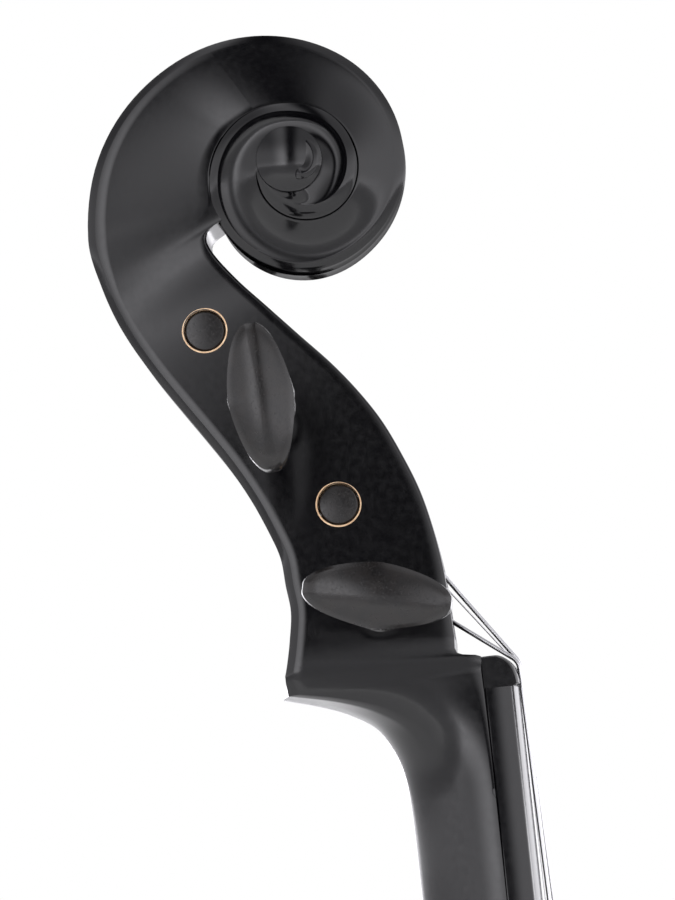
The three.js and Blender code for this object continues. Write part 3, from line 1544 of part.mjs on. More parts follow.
const boxInnerHalf = [boxHalfWidth - boxWall, boxHalfLength - boxWall];
const doorHalf = [boxHalfWidth - seatGap, boxHalfLength - seatGap];
const doorNearY = backY - doorThickness;
const hingeX = boxCentre[0] + doorHalf[0] - doorThickness / 2;
const hingeY = backY - doorThickness / 2;

function buildBox() {
  const shell = roundedPlate(boxCentre, [boxHalfWidth, boxHalfLength], boxWall, backY - boxDepth, backY);
  const flange = roundedPlate(boxCentre, boxFlangeHalf, boxFlange, backY - boxFlange, backY);
  const roomFloor = backY - boxDepth + boxWall;
  const room = roundedPlate(boxCentre, boxInnerHalf, 0.5 * boxWall, roomFloor, backY + cutOverrun);
  const seatHalf = doorHalf.map((half) => half + runningGap);
  const seat = roundedPlate(boxCentre, seatHalf, 0.2 * boxWall, doorNearY - seatGap, backY + cutOverrun);
  const reach = doorHalf[1] + 2 * doorPinRadius + 2 * seatGap;
  const holeRadius = doorPinRadius + runningGap / 2;
  const pinHole = rod("z", [hingeX, hingeY, boxCentre[1]], -reach, reach, holeRadius, 10);
  return cut(join(shell, flange), room, seat, pinHole);
}

// The door's hinge edge is round about its two stub pins, so it swings clear of the flange.
function buildDoor() {
  const radius = doorThickness / 2;
  const round = [-90, -60, -30, 0, 30, 60, 90].map(THREE.MathUtils.degToRad);
  const edge = round.map((turn) => [hingeX + radius * Math.cos(turn), hingeY + radius * Math.sin(turn)]);
  const free = boxCentre[0] - doorHalf[0];
  const outline = [...edge, [free + 0.3 * radius, backY], [free, hingeY], [free + 0.3 * radius, doorNearY]];
  const ring = (z) => outline.map(([x, y]) => vector(x, y, z));
  const plate = solidOf(loft([ring(boxCentre[1] - doorHalf[1]), ring(boxCentre[1] + doorHalf[1])]));
  const reach = doorHalf[1] + 2 * doorPinRadius;
  const pin = rod("z", [hingeX, hingeY, boxCentre[1]], -reach, reach, doorPinRadius, 10);
  return join(plate, pin);
}

function buildBattery() {
  const [wide, deep, tall] = batterySize;
  const nearY = backY - boxDepth + boxWall + seatGap;
  const half = [wide / 2, tall / 2];
  const can = roundedPlate(boxCentre, half, 0.1 * wide, nearY, nearY + deep);
  const studs = [-1, 1].map((side) => {
    const place = [boxCentre[0] + 0.25 * side * wide, nearY + 0.5 * deep, boxCentre[1] + 0.49 * tall];
    return rod("z", place, 0, 0.06 * tall, 0.14 * deep, 8);
  });
  return join(can, ...studs);
}

piece(neckGroup, "neck_and_scroll", buildNeck(), materials.lacquer);
piece(neckGroup, "fingerboard", buildFingerboard(), materials.ebony);
piece(neckGroup, "nut", buildNut(), materials.ebony);
piece(violin, "body", buildBody(), materials.lacquer);
piece(violin, "bridge", buildBridge(), materials.maple);
piece(violin, "pickup", buildPickup(), materials.plastic);

stringNames.forEach((name, i) => {
  const [y, z] = pegPlace(name);
  const peg = piece(neckGroup, `peg_${name}`, buildPeg(name), materials.ebony);
  peg.position.set(0, y, z);
  const path = windingPath(i);
  piece(neckGroup, `winding_${name}`, solidOf(tube(path, stringRadii[i], 6)), materials.steel);
  console.log(`winding_${name}: least gap between turns ${leastGap(path, stringRadii[i]).toFixed(2)} mm`);
  piece(violin, `string_${name}`, buildString(i), materials.steel);
});

const tailpieceGroup = new THREE.Group();
tailpieceGroup.position.copy(tailpieceHead);
tailpieceGroup.rotation.x = tailpieceLean;
violin.add(tailpieceGroup);
piece(tailpieceGroup, "tailpiece", buildTailpiece(), materials.composite);
piece(tailpieceGroup, "tuner_axle", buildAxle(), materials.steel);
stringNames.forEach((name, i) => {
  const lever = piece(tailpieceGroup, `tuner_lever_${name}`, buildLever(), materials.nickel);
  const shank = piece(tailpieceGroup, `tuner_screw_${name}`, buildShank(), materials.nickel);
  const head = piece(tailpieceGroup, `tuner_head_${name}`, buildTunerHead(), materials.nickel);
  lever.position.x = tunerX(i);
  shank.position.set(tunerX(i), 0, screwZ);
  head.position.set(tunerX(i), 0, screwZ);
});
piece(violin, "tailgut", buildTailgut(), materials.gut);
piece(violin, "saddle", buildSaddle(), materials.ebony);
piece(violin, "end_button", buildButton(), materials.ebony);

piece(violin, "chinrest", buildChinrest(), materials.composite);
piece(violin, "chinrest_cork", buildChinrestCork(), materials.cork);
piece(violin, "chinrest_bracket", buildBracket(), materials.nickel);
clampX.forEach((x, i) => {
  piece(violin, `clamp_barrel_${i + 1}`, buildBarrel(), materials.nickel).position.set(x, 0, clampZ);
});
piece(violin, "clamp_foot", buildFoot(), materials.nickel);
piece(violin, "clamp_foot_cork", buildFootCork(), materials.cork);

piece(violin, "electronics_cover", buildCover(), materials.plastic);
coverScrewPlaces.forEach(([x, z], i) => {
  piece(violin, `cover_screw_${i + 1}`, buildCoverScrew(), materials.nickel).position.set(x, 0, z);
});
piece(violin, "preamp_board", buildPreamp(), materials.circuit);
["volume", "tone"].forEach((name, i) => {
  const place = [0, controlY, controlZ[i]];
  piece(violin, `${name}_pot`, buildPot(), materials.nickel).position.set(...place);
  piece(violin, `${name}_shaft`, buildPotShaft(), materials.brass).position.set(...place);
  piece(violin, `${name}_knob`, buildKnob(), materials.plastic).position.set(...place);
});
piece(violin, "output_jack", buildJack(), materials.nickel).position.set(0, controlY, jackZ);
piece(violin, "jack_nut", buildJackNut(), materials.nickel).position.set(0, controlY, jackZ);
piece(violin, "battery_box", buildBox(), materials.plastic);
piece(violin, "battery_door", buildDoor(), materials.plastic);
piece(violin, "battery", buildBattery(), materials.cell);

export default violin;
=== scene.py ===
"""Electric violin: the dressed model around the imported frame. Lengths in the tables are millimetres."""

import json
import math

import bmesh
import bpy
from mathutils import Matrix, Vector
from mathutils.bvhtree import BVHTree


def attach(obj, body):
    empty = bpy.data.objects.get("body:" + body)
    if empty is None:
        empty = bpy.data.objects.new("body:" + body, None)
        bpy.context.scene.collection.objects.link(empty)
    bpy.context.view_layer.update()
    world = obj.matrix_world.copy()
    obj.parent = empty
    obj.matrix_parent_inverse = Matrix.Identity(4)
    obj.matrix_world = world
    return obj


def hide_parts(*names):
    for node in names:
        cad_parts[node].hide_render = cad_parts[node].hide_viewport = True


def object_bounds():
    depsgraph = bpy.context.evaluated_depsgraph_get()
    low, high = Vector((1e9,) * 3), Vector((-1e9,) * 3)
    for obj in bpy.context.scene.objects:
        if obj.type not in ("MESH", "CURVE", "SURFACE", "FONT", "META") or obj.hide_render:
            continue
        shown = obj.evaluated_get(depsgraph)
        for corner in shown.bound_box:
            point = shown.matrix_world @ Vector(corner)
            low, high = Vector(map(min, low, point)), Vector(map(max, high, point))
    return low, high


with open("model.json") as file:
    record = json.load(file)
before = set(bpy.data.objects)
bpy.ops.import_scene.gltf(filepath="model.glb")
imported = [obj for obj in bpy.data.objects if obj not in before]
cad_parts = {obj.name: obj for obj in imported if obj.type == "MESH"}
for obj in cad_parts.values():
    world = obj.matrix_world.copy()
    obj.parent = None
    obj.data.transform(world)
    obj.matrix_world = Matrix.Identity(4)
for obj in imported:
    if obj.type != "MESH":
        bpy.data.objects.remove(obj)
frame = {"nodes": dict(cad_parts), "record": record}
cad_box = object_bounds()

MM = 0.001
LEAN = math.radians(4)
UPRIGHT = Matrix.Identity(4)
NECK = Matrix.Rotation(-LEAN, 4, "X")

# Gaps round seated and running pieces, and the radius that stands for a turned profile's axis
SEAT = 0.3
RUN = 0.35
AXIS = 0.01


def mix(a, b, t):
    return a + (b - a) * t


def rise(x, low, high):
    t = min(max((x - low) / (high - low), 0.0), 1.0)
    return t * t * (3 - 2 * t)


def sagitta(x, radius):
    return radius - math.sqrt(radius * radius - x * x)


def from_table(table, position):
    """A value from an evenly spaced table, on a smooth curve through its entries."""
    last = len(table) - 1
    i = int(min(max(position, 0), last - 0.001))
    t = position - i
    a, b, c, d = (table[min(max(k, 0), last)] for k in (i - 1, i, i + 1, i + 2))
    return b + 0.5 * t * (c - a + t * (2 * a - 5 * b + 4 * c - d + t * (3 * (b - c) + d - a)))


def cubic(a, slope_a, b, slope_b, t):
    """A point on the cubic between two ends with their slopes."""
    return (
        a * (2 * t**3 - 3 * t * t + 1) + slope_a * (t**3 - 2 * t * t + t)
        + b * (3 * t * t - 2 * t**3) + slope_b * (t**3 - t * t)
    )


def turns(count):
    """Even angles round a circle."""
    return [2 * math.pi * k / count for k in range(count)]


def quarter(steps, first=0):
    """Even angles over a right angle."""
    return [math.pi / 2 * k / steps for k in range(first, steps + 1)]


def mirrored(points):
    """Points of a half outline on the other side of the middle, in the reverse order."""
    return [(-x, y) for x, y in reversed(points)]


def neighbours(points):
    """The direction of a line at each of its points."""
    return [(b - a).normalized() for a, b in zip(points[:1] + points, points[1:] + points[-1:])]


def hermite(rows, places, place, corners=()):
    """A row of values at a place, on a smooth curve through unevenly placed rows. It may bend sharply at corners."""
    i = 0
    while i < len(rows) - 2 and place > places[i + 1]:
        i += 1
    span = places[i + 1] - places[i]
    t = (place - places[i]) / span

    def slope(k, side, n):
        lo, hi = max(k - 1, 0), min(k + 1, len(rows) - 1)
        if k in corners:
            lo, hi = (k, hi) if side > 0 else (lo, k)
        return (rows[hi][n] - rows[lo][n]) / (places[hi] - places[lo])

    return [
        cubic(rows[i][n], slope(i, 1, n) * span, rows[i + 1][n], slope(i + 1, -1, n) * span, t)
        for n in range(len(rows[0]))
    ]


# Meshes


def loft(rings, capped=True):
    """Points and faces of a skin through rings of points that wrap round. The ends are capped."""
    count = len(rings[0])
    points = [p for ring in rings for p in ring]
    faces = []
    for r in range(len(rings) - 1):
        for i in range(count):
            a, b = r * count + i, r * count + (i + 1) % count
            faces.append((a, b, b + count, a + count))
    if capped:
        faces.append(tuple(reversed(range(count))))
        last = (len(rings) - 1) * count
        faces.append(tuple(last + i for i in range(count)))
    return points, faces


def tube(path, radius, sides=16):
    """A round tube along a path of points, with flat ends."""
    across = Vector((1, 0, 0))
    rings = []
    for p, along in zip(path, neighbours(path)):
        across = (across - along * across.dot(along)).normalized()
        up = along.cross(across)
        rings.append([p + across * (radius * math.cos(t)) + up * (radius * math.sin(t)) for t in turns(sides)])
    return loft(rings)


def turned(profile, sides=48, axis="x", at=(0, 0, 0)):
    """A body turned about an axis through a point: its profile is a list of (place along the axis, radius)."""
    order = {"x": (0, 1, 2), "y": (2, 0, 1), "z": (1, 2, 0)}[axis]
    centre = Vector(at)
    rings = []
    for along, radius in profile:
        ring = []
        for t in turns(sides):
            point = (along, radius * math.cos(t), radius * math.sin(t))
            ring.append(Vector([point[n] for n in order]) + centre)
        rings.append(ring)
    return loft(rings)


def rod(start, end, radius, sides, axis, at):
    return turned([(start, radius), (end, radius)], sides, axis, at)


def closed(profile):
    """A turned profile run in to the axis at both ends."""
    return [(profile[0][0], AXIS), *profile, (profile[-1][0], AXIS)]


def sleeve(profile, sides, axis, at):
    """A turned body with a bore: its profile comes back to its start, so it needs no ends."""
    points, faces = turned(profile, sides, axis, at)
    return points, faces[:-2]


def soft_profile(profile, radius=0.35, steps=4):
    """A turned profile whose inner corners are rounded."""
    out = [profile[0]]
    for a, b, c in zip(profile, profile[1:], profile[2:]):
        va, vb, vc = Vector(a), Vector(b), Vector(c)
        r = min(radius, 0.45 * (va - vb).length, 0.45 * (vc - vb).length)
        if r < 1e-4:
            out.append(b)
            continue
        p, q = vb + (va - vb).normalized() * r, vb + (vc - vb).normalized() * r
        for k in range(steps + 1):
            t = k / steps
            m = p * (1 - t) ** 2 + vb * (2 * t * (1 - t)) + q * t * t
            out.append((m.x, m.y))
    out.append(profile[-1])
    return out


def make(name, parts, matrix=UPRIGHT, angle=35.0):
    """An object from one or more (points, faces) in millimetres, placed in the row frame in metres."""
    if isinstance(parts, tuple):
        parts = [parts]
    bm = bmesh.new()
    for points, faces in parts:
        verts = [bm.verts.new(matrix @ (Vector(p) * MM)) for p in points]
        made = []
        for face in faces:
            corners = [verts[i] for i in face]
            if len(set(corners)) > 2:
                made.append(bm.faces.new(corners))
        bm.normal_update()
        inside = sum(f.calc_center_median().dot(f.normal) * f.calc_area() for f in made)
        centre = sum((v.co for v in verts), Vector()) / len(verts)
        inside -= sum(centre.dot(f.normal) * f.calc_area() for f in made)
        if inside < 0:
            bmesh.ops.reverse_faces(bm, faces=made)
    bmesh.ops.remove_doubles(bm, verts=bm.verts, dist=1e-7)
    mesh = bpy.data.meshes.new(name)
    bm.to_mesh(mesh)
    bm.free()
    obj = bpy.data.objects.new(name, mesh)
    bpy.context.scene.collection.objects.link(obj)
    soften(obj, angle)
    return obj


def soften(obj, angle=35.0):
    """Smooth shading that keeps edges sharper than an angle."""
    mesh = obj.data
    mesh.polygons.foreach_set("use_smooth", [True] * len(mesh.polygons))
    mesh.set_sharp_from_angle(angle=math.radians(angle))


def carve(obj, cutters, matrix=UPRIGHT, operation="DIFFERENCE", angle=35.0):
    """The object less the shapes of its cutters, or joined with them."""
    for parts in cutters:
        cutter = make("cutter", parts, matrix)
        modifier = obj.modifiers.new("cut", "BOOLEAN")
        modifier.operation = operation
        modifier.solver = "EXACT"
        modifier.object = cutter
        graph = bpy.context.evaluated_depsgraph_get()
        mesh = bpy.data.meshes.new_from_object(obj.evaluated_get(graph))
        obj.modifiers.clear()
        old, obj.data = obj.data, mesh
        mesh.name = obj.name
        bpy.data.meshes.remove(old)
        bpy.data.objects.remove(cutter)
    soften(obj, angle)
    return obj


def join(into, *others):
    """Objects put together in the first of them."""
    bpy.ops.object.select_all(action="DESELECT")
    for obj in (into, *others):
        obj.select_set(True)
    bpy.context.view_layer.objects.active = into
    bpy.ops.object.join()


# Materials


def material(name, color, roughness, metallic=0.0, coat=0.0):
    made = bpy.data.materials.new(name)
    made.use_nodes = True
    inputs = made.node_tree.nodes["Principled BSDF"].inputs
    inputs["Base Color"].default_value = (*color, 1)
    inputs["Roughness"].default_value = roughness
    inputs["Metallic"].default_value = metallic
    inputs["Coat Weight"].default_value = coat
    return made


def node(made, kind, **values):
    new = made.node_tree.nodes.new(kind)
    for key, value in values.items():
        if key in new.inputs:
            new.inputs[key].default_value = value
        else:
            setattr(new, key, value)
    return new


def link(made, source, output, target, socket):
    made.node_tree.links.new(source.outputs[output], target.inputs[socket])


def position(made, scale=(1, 1, 1)):
    """Object coordinates in metres, stretched."""
    place = node(made, "ShaderNodeTexCoord")
    stretch = node(made, "ShaderNodeMapping", Scale=scale)
    link(made, place, "Object", stretch, "Vector")
    return stretch


def ramp(made, source, stops):
    """A colour ramp over a texture's value. Its two stops are (place, value or colour)."""
    found = node(made, "ShaderNodeValToRGB")
    for element, (place, value) in zip(found.color_ramp.elements, stops):
        element.position = place
        element.color = (*value, 1) if isinstance(value, tuple) else (value, value, value, 1)
    link(made, source, "Fac", found, "Fac")
    return found


def texture(made, place, kind, **values):
    """A texture over a place. A kind is the end of the node's name."""
    found = node(made, f"ShaderNodeTex{kind}", **values)
    link(made, place, "Vector", found, "Vector")
    return found


def noise(made, place, scale, detail=3.0, rough=0.5):
    return texture(made, place, "Noise", Scale=scale, Detail=detail, Roughness=rough)


def bump(made, source, output, strength, distance):
    found = node(made, "ShaderNodeBump", Strength=strength, Distance=distance)
    link(made, source, output, found, "Height")
    drive(made, found, "Normal", "Normal")


def drive(made, source, socket, output="Color"):
    link(made, source, output, made.node_tree.nodes["Principled BSDF"], socket)


def lacquer():
    """Rubbed black lacquer: faint unevenness from the wood below and fine dust in its gloss."""
    made = material("lacquer", (0.003, 0.003, 0.0036), 0.13)
    place = position(made)
    broad = noise(made, place, 26.0, 2.0)
    fine = noise(made, place, 900.0, 3.0)
    drive(made, ramp(made, fine, [(0.3, 0.11), (0.75, 0.17)]), "Roughness")
    drive(made, ramp(made, broad, [(0.3, (0.001, 0.001, 0.0014)), (0.7, (0.0018, 0.0017, 0.0023))]), "Base Color")
    bump(made, fine, "Fac", 0.01, 0.00005)
    return made


def ebony():
    """Oiled ebony: dark brown streaks and short open pores along the grain."""
    made = material("ebony", (0.005, 0.0045, 0.0045), 0.2)
    streak = noise(made, position(made, (60, 420, 420)), 1.0, 5.0, 0.6)
    pores = noise(made, position(made, (300, 2600, 2600)), 1.0, 2.0)
    drive(made, ramp(made, streak, [(0.3, (0.003, 0.0028, 0.003)), (0.75, (0.008, 0.0062, 0.0055))]), "Base Color")
    drive(made, ramp(made, pores, [(0.35, 0.19), (0.7, 0.28)]), "Roughness")
    bump(made, ramp(made, pores, [(0.55, 1.0), (0.68, 0.0)]), "Color", 0.1, 0.00003)
    return made


def wood(name, dark, light, stretch, roughness, pore_depth):
    """Bare wood with growth lines along an axis."""
    made = material(name, light, roughness)
    grain = noise(made, position(made, stretch), 1.0, 4.0, 0.65)
    fine = noise(made, position(made, tuple(6 * s for s in stretch)), 1.0, 2.0)
    drive(made, ramp(made, grain, [(0.28, dark), (0.7, light)]), "Base Color")
    drive(made, ramp(made, fine, [(0.3, roughness - 0.08), (0.7, roughness + 0.1)]), "Roughness")
    bump(made, fine, "Fac", 0.3, pore_depth)
    return made


def metal(name, color, roughness, metallic=1.0):
    """Plated or turned metal with faint polishing marks."""
    made = material(name, color, roughness, metallic)
    marks = noise(made, position(made, (500, 3500, 900)), 1.0, 3.0)
    cloud = noise(made, position(made), 60.0, 2.0)
    drive(made, ramp(made, cloud, [(0.3, roughness * 0.75), (0.75, roughness * 1.5)]), "Roughness")
    bump(made, marks, "Fac", 0.12, 0.00001)
    return made


def string_metal():
    """A flat-wound string: fine ribbon turns across its length."""
    made = material("string_steel", (0.62, 0.62, 0.63), 0.22, metallic=1.0)
    place = position(made)
    wave = texture(made, place, "Wave", Scale=1500.0, Distortion=0.0, bands_direction="Z")
    cloud = noise(made, place, 220.0, 2.0)
    drive(made, ramp(made, cloud, [(0.3, 0.16), (0.75, 0.3)]), "Roughness")
    bump(made, wave, "Fac", 0.25, 0.00002)
    return made


def moulded(name, color, roughness, grain=1400.0, depth=0.00003):
    """Moulded plastic with a fine grain."""
    made = material(name, color, roughness)
    place = position(made)
    grains = noise(made, place, grain, 2.0)
    cloud = noise(made, place, 35.0, 2.0)
    drive(made, ramp(made, cloud, [(0.3, roughness - 0.05), (0.7, roughness + 0.06)]), "Roughness")
    shade = [(at, tuple(share * c for c in color)) for at, share in ((0.35, 0.85), (0.7, 1.2))]
    drive(made, ramp(made, grains, shade), "Base Color")
    bump(made, grains, "Fac", 0.4, depth)
    return made


def cork_finish():
    """Pressed cork: dark and light specks over a fine relief of cells."""
    made = material("cork", (0.45, 0.27, 0.13), 0.85)
    place = position(made)
    cells = texture(made, place, "Voronoi", Scale=1300.0)
    specks = noise(made, place, 420.0, 4.0, 0.7)
    drive(made, ramp(made, specks, [(0.38, (0.16, 0.08, 0.035)), (0.62, (0.52, 0.33, 0.17))]), "Base Color")
    bump(made, cells, "Distance", 0.5, 0.00012)
    return made


def braided():
    """The tailgut's cord: slanting strands, with painted shade in the grooves between them."""
    made = material("gut", (0.02, 0.02, 0.02), 0.5)
    strands = texture(made, position(made), "Wave", Scale=900.0, Distortion=0.0, bands_direction="DIAGONAL")
    # Painted shade: the colour follows the strands' relief, darker in the grooves and lighter on the crests
    drive(made, ramp(made, strands, [(0.2, (0.01, 0.01, 0.01)), (0.8, (0.035, 0.035, 0.036))]), "Base Color")
    bump(made, strands, "Fac", 0.5, 0.0001)
    return made


def board_mask():
    """A circuit board's green mask with its tracks below."""
    made = material("circuit", (0.02, 0.11, 0.05), 0.35, coat=0.5)
    tracks = texture(made, position(made), "Brick", Scale=240.0)
    drive(made, ramp(made, tracks, [(0.1, (0.012, 0.075, 0.035)), (0.9, (0.03, 0.15, 0.07))]), "Base Color")
    return made


finishes = {
    "lacquer": lacquer(),
    "ebony": ebony(),
    "maple": wood("maple", (0.42, 0.22, 0.09), (0.62, 0.4, 0.2), (900, 60, 90), 0.45, 0.00004),
    "string_steel": string_metal(),
    "nickel": metal("nickel", (0.68, 0.67, 0.66), 0.13),
    "brass": metal("brass", (0.7, 0.5, 0.22), 0.24),
    "composite": moulded("composite", (0.012, 0.012, 0.013), 0.34, 1800.0, 0.00002),
    "plastic": moulded("plastic", (0.016, 0.016, 0.017), 0.46),
    "cork": cork_finish(),
    "gut": braided(),
    "circuit": board_mask(),
    "cell": metal("cell", (0.05, 0.055, 0.065), 0.35, metallic=0.6),
}
bare_wood = wood("bare_wood", (0.42, 0.24, 0.12), (0.78, 0.58, 0.38), (300, 900, 900), 0.5, 0.00003)

slot_of = {s["node"]: s["material_slot"] for s in frame["record"]["subparts"]}
for name, obj in frame["nodes"].items():
    obj.data.materials.clear()
    obj.data.materials.append(finishes[slot_of[name]])
    soften(obj, 38.0)


def dress(obj, body, slot, *nodes, finish=None):
    """A finished piece: its material, the body that it rides on and the CAD nodes that it stands for."""
    obj.data.materials.clear()
    obj.data.materials.append(finish or finishes[slot])
    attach(obj, body)
    if nodes:
        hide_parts(*nodes)
    return obj


def piece(name, parts, body, slot, matrix=UPRIGHT, angle=35.0):
    """A fine piece that stands for the CAD node of its name."""
    return dress(make(f"{name}_fine", parts, matrix, angle), body, slot, name)


# Head: the neck, the pegbox and the scroll as one skin

# Sizes of the whole instrument: y runs from front to back and z from the nut up to the scroll
HEAD = 114.4
EYE_WIDTH = 41.0
VOLUTE = 18.9
EYE = (0.199 * HEAD, 0.814 * HEAD)
BEVEL = 1.1
FLUTE = 0.95
NECK_STOP = 130.0
NECK_DEPTH = 14.75
NUT_HALF = 12.0
BODY_THICK = 31.0
FRONT_Y = -NECK_STOP * math.tan(LEAN) + 2.6
BACK_Y = FRONT_Y + BODY_THICK
TOP_Z = -NECK_STOP
TAIL_Z = TOP_Z - 356.0
# The pegbox's hollow: its walls, floor and draft, the rounding of its mouth and of its floor's sides; and the
# neck's round section, a little squarer and a little narrower below than an ellipse
WALL = 4.1
FLOOR = 4.6
DRAFT = 1.2 * BEVEL
MOUTH_ROUND = 0.9
COVE, COVE_SHARE = 2.2, 0.45
NECK_BOW, NECK_PINCH = 0.93, 0.07
# The ridge's chamfer, and the line beside each turn's foot as (place over the foot, depth)
CHAMFER = 1.4
CHAMFER_DROP = 0.75
CHAMFER_SHARES = (0.08, 0.2, 0.45, 0.7, 0.9, 1.0)
FOOT_GROOVE = ((0.55, 0.0), (0.4, 0.06), (0.25, 0.3), (0.1, 0.55), (-0.1, 0.6), (-0.4, 0.6))

# The scroll's ridge for each 45 degrees from -45: its distance from the eye, as a share of VOLUTE, and half
# the width there, as a share of EYE_WIDTH
RIDGE_RADIUS = [
    2.26, 1.908, 1.528, 1.252, 1.086, 0.985, 0.94, 0.94, 0.889, 0.797, 0.684, 0.583, 0.56, 0.55,
    0.529, 0.465, 0.4, 0.345, 0.29, 0.25, 0.235, 0.225, 0.215, 0.18, 0.15,
]
RIDGE_WIDTH = [
    0.221, 0.202, 0.171, 0.151, 0.144, 0.146, 0.161, 0.183, 0.21, 0.237, 0.263, 0.288, 0.312, 0.337,
    0.359, 0.378, 0.398, 0.417, 0.437, 0.454, 0.468, 0.48, 0.49, 0.498, 0.5,
]
# Sections of the neck and the pegbox as shares of HEAD and EYE_WIDTH: the back's y and z, the front's y and z,
# half the width behind and before, and how round the section is
PEGBOX = [
    [0.1292, -0.28, 0, -0.28, 0.31, 0.316, 1],
    [0.1315, -0.146, 0, -0.157, 0.305, 0.309, 1],
    [0.1395, -0.092, 0, -0.114, 0.307, 0.303, 0.95],
    [0.1645, -0.0437, 0, -0.0743, 0.312, 0.298, 0.85],
    [0.2, -0.0175, 0, -0.035, 0.311, 0.295, 0.65],
    [0.2448, 0.0015, 0, 0.0005, 0.315, 0.293, 0.4],
    [0.3042, 0.0187, 0, 0.0285, 0.318, 0.293, 0.12],
    [0.2937, 0.049, 0, 0.049, 0.322, 0.2965, 0],
    [0.2876, 0.0717, 0.0341, 0.0577, 0.325, 0.3, 0],
    [0.2815, 0.1005, 0.0358, 0.083, 0.325, 0.303, 0],
    [0.2753, 0.1442, 0.0385, 0.1399, 0.319, 0.298, 0],
    [0.2791, 0.1836, 0.042, 0.1923, 0.308, 0.29, 0],
    [0.283, 0.2273, 0.051, 0.2509, 0.298, 0.281, 0],
    [0.2978, 0.271, 0.0639, 0.3059, 0.288, 0.271, 0],
    [0.3192, 0.3207, 0.0832, 0.3584, 0.28, 0.264, 0],
    [0.3493, 0.3759, 0.1089, 0.4152, 0.271, 0.258, 0],
    [0.3802, 0.424, 0.1389, 0.4633, 0.262, 0.253, 0],
    [0.413, 0.4728, 0.1766, 0.5122, 0.252, 0.2475, 0],
    [0.4442, 0.52, 0.2221, 0.5621, 0.243, 0.2425, 0],
    [0.467, 0.5584, 0.2672, 0.6119, 0.235, 0.2385, 0],
    [0.4813, 0.5857, 0.3063, 0.6556, 0.228, 0.231, 0],
    [0.4937, 0.6132, 0.3404, 0.7036, 0.222, 0.227, 0],
    [0.5047, 0.6437, 0.3436, 0.7309, 0.217, 0.217, 0],
    [0.5147, 0.6791, 0.306, 0.7545, 0.212, 0.203, 0],
]
# Sections of the heel, downwards: the place, the share of the full depth and the width over the nut's
HEEL = [
    [down, rise(down, 0.72, 0.985), mix(1.13, 1.35, rise(down, 0.5, 0.95))]
    for down in (1.06, 1, 0.96, 0.92, 0.88, 0.84, 0.8, 0.76, 0.72, 0.66, 0.58, 0.5)
]
EYE_LEVEL = 0.472 * EYE_WIDTH
# The domed button in the middle: its radius, its centre from the eye's, its height over the eye and its fall
BUTTON_RADIUS = 5.6
BUTTON_AT = (0.8, 0.3)
BUTTON_TOP = 0.45
BUTTON_FALL = 1.3
BUTTON_ROOT = 2.6
# The turns, in degrees, where the scroll starts, parts from the skin and ends; rows of PEGBOX with the
# pegbox's hollow between them, and the row of the chin's sharp corner
SCROLL_START, SCROLL_JOIN, SCROLL_END = -12, 60, 1020
TURN_STEP = 3
# Ranges of turns, in degrees, over which the scroll's wall changes: its climb to the next turn's foot, its dish and
# the groove beside the foot come and go; in the last turn the flute fades, the wall closes over the middle and
# bulges, its points are spread evenly, and the end sinks under the eye
CLIMB_COMES, CLIMB_EASES = (0, 60), (150, 340)
DISH_COMES, DISH_GOES, DISH = (200, 400), (560, 640), 1.25
GROOVE_COMES, GROOVE_GOES = (0, 40), (590, 630)
FLUTE_FADES, WALL_CLOSES, WALL_LEVELS = (640, 760), (600, 650), (600, 655)
WALL_EVEN, WALL_BULGES, END_SINKS = (590, 650), (590, 660), (965, 1015)
CAVITY = (9, 21)
CHIN = 6

# Sample places on the half section, from the spine on the back to the middle of the front
RIBBON_STEPS, EDGE_STEPS, CHEEK_STEPS = 14, 6, 16
LIP_STEPS, MOUTH_STEPS, WALL_STEPS, BASE_STEPS = 4, 3, 7, 8
HALF_STEPS = CHEEK_STEPS + LIP_STEPS + MOUTH_STEPS + 1 + WALL_STEPS + BASE_STEPS
ROUND_TURNS = [0, 18, 35, 50, 63, 73, 82, 90]
BRIDGE_RINGS = 8


def ridge_radius(turn):
    return VOLUTE * from_table(RIDGE_RADIUS, turn / 45 + 1)


def ridge_width(turn):
    return EYE_WIDTH * from_table(RIDGE_WIDTH, turn / 45 + 1)


def ribbon(length, width, flute, chamfer=CHAMFER):
    """The back's half section as (coarse place, height, x): a spine, a hollow flute and the ridge's chamfer."""
    out = []
    drop = CHAMFER_DROP * chamfer / CHAMFER
    flat = width - drop
    for k in range(RIBBON_STEPS + 1):
        u = k / RIBBON_STEPS
        hollow = math.sin(math.pi * u**0.85) ** 0.9 if 0 < u < 1 else 0.0
        out.append((3 * u, length - flute * hollow, flat * u))
    for k, share in enumerate(CHAMFER_SHARES):
        swell = 0.07 * math.sin(math.pi * share)
        height, x = length - chamfer * share + swell, flat + drop * share + swell
        out.append((3 + (k + 1) / EDGE_STEPS, height, x))
    return out


def ring_from(front, back, half):
    """A whole section between two points from the half that is given as (height over the front, x)."""
    along = Vector((0, back[0] - front[0], back[1] - front[1]))
    length = along.length
    along.normalize()
    base = Vector((0, *front))
    side = [base + along * height + Vector((x, 0, 0)) for height, x in half(length)]
    other = [Vector((-p.x, p.y, p.z)) for p in reversed(side[1:-1])]
    return side + other


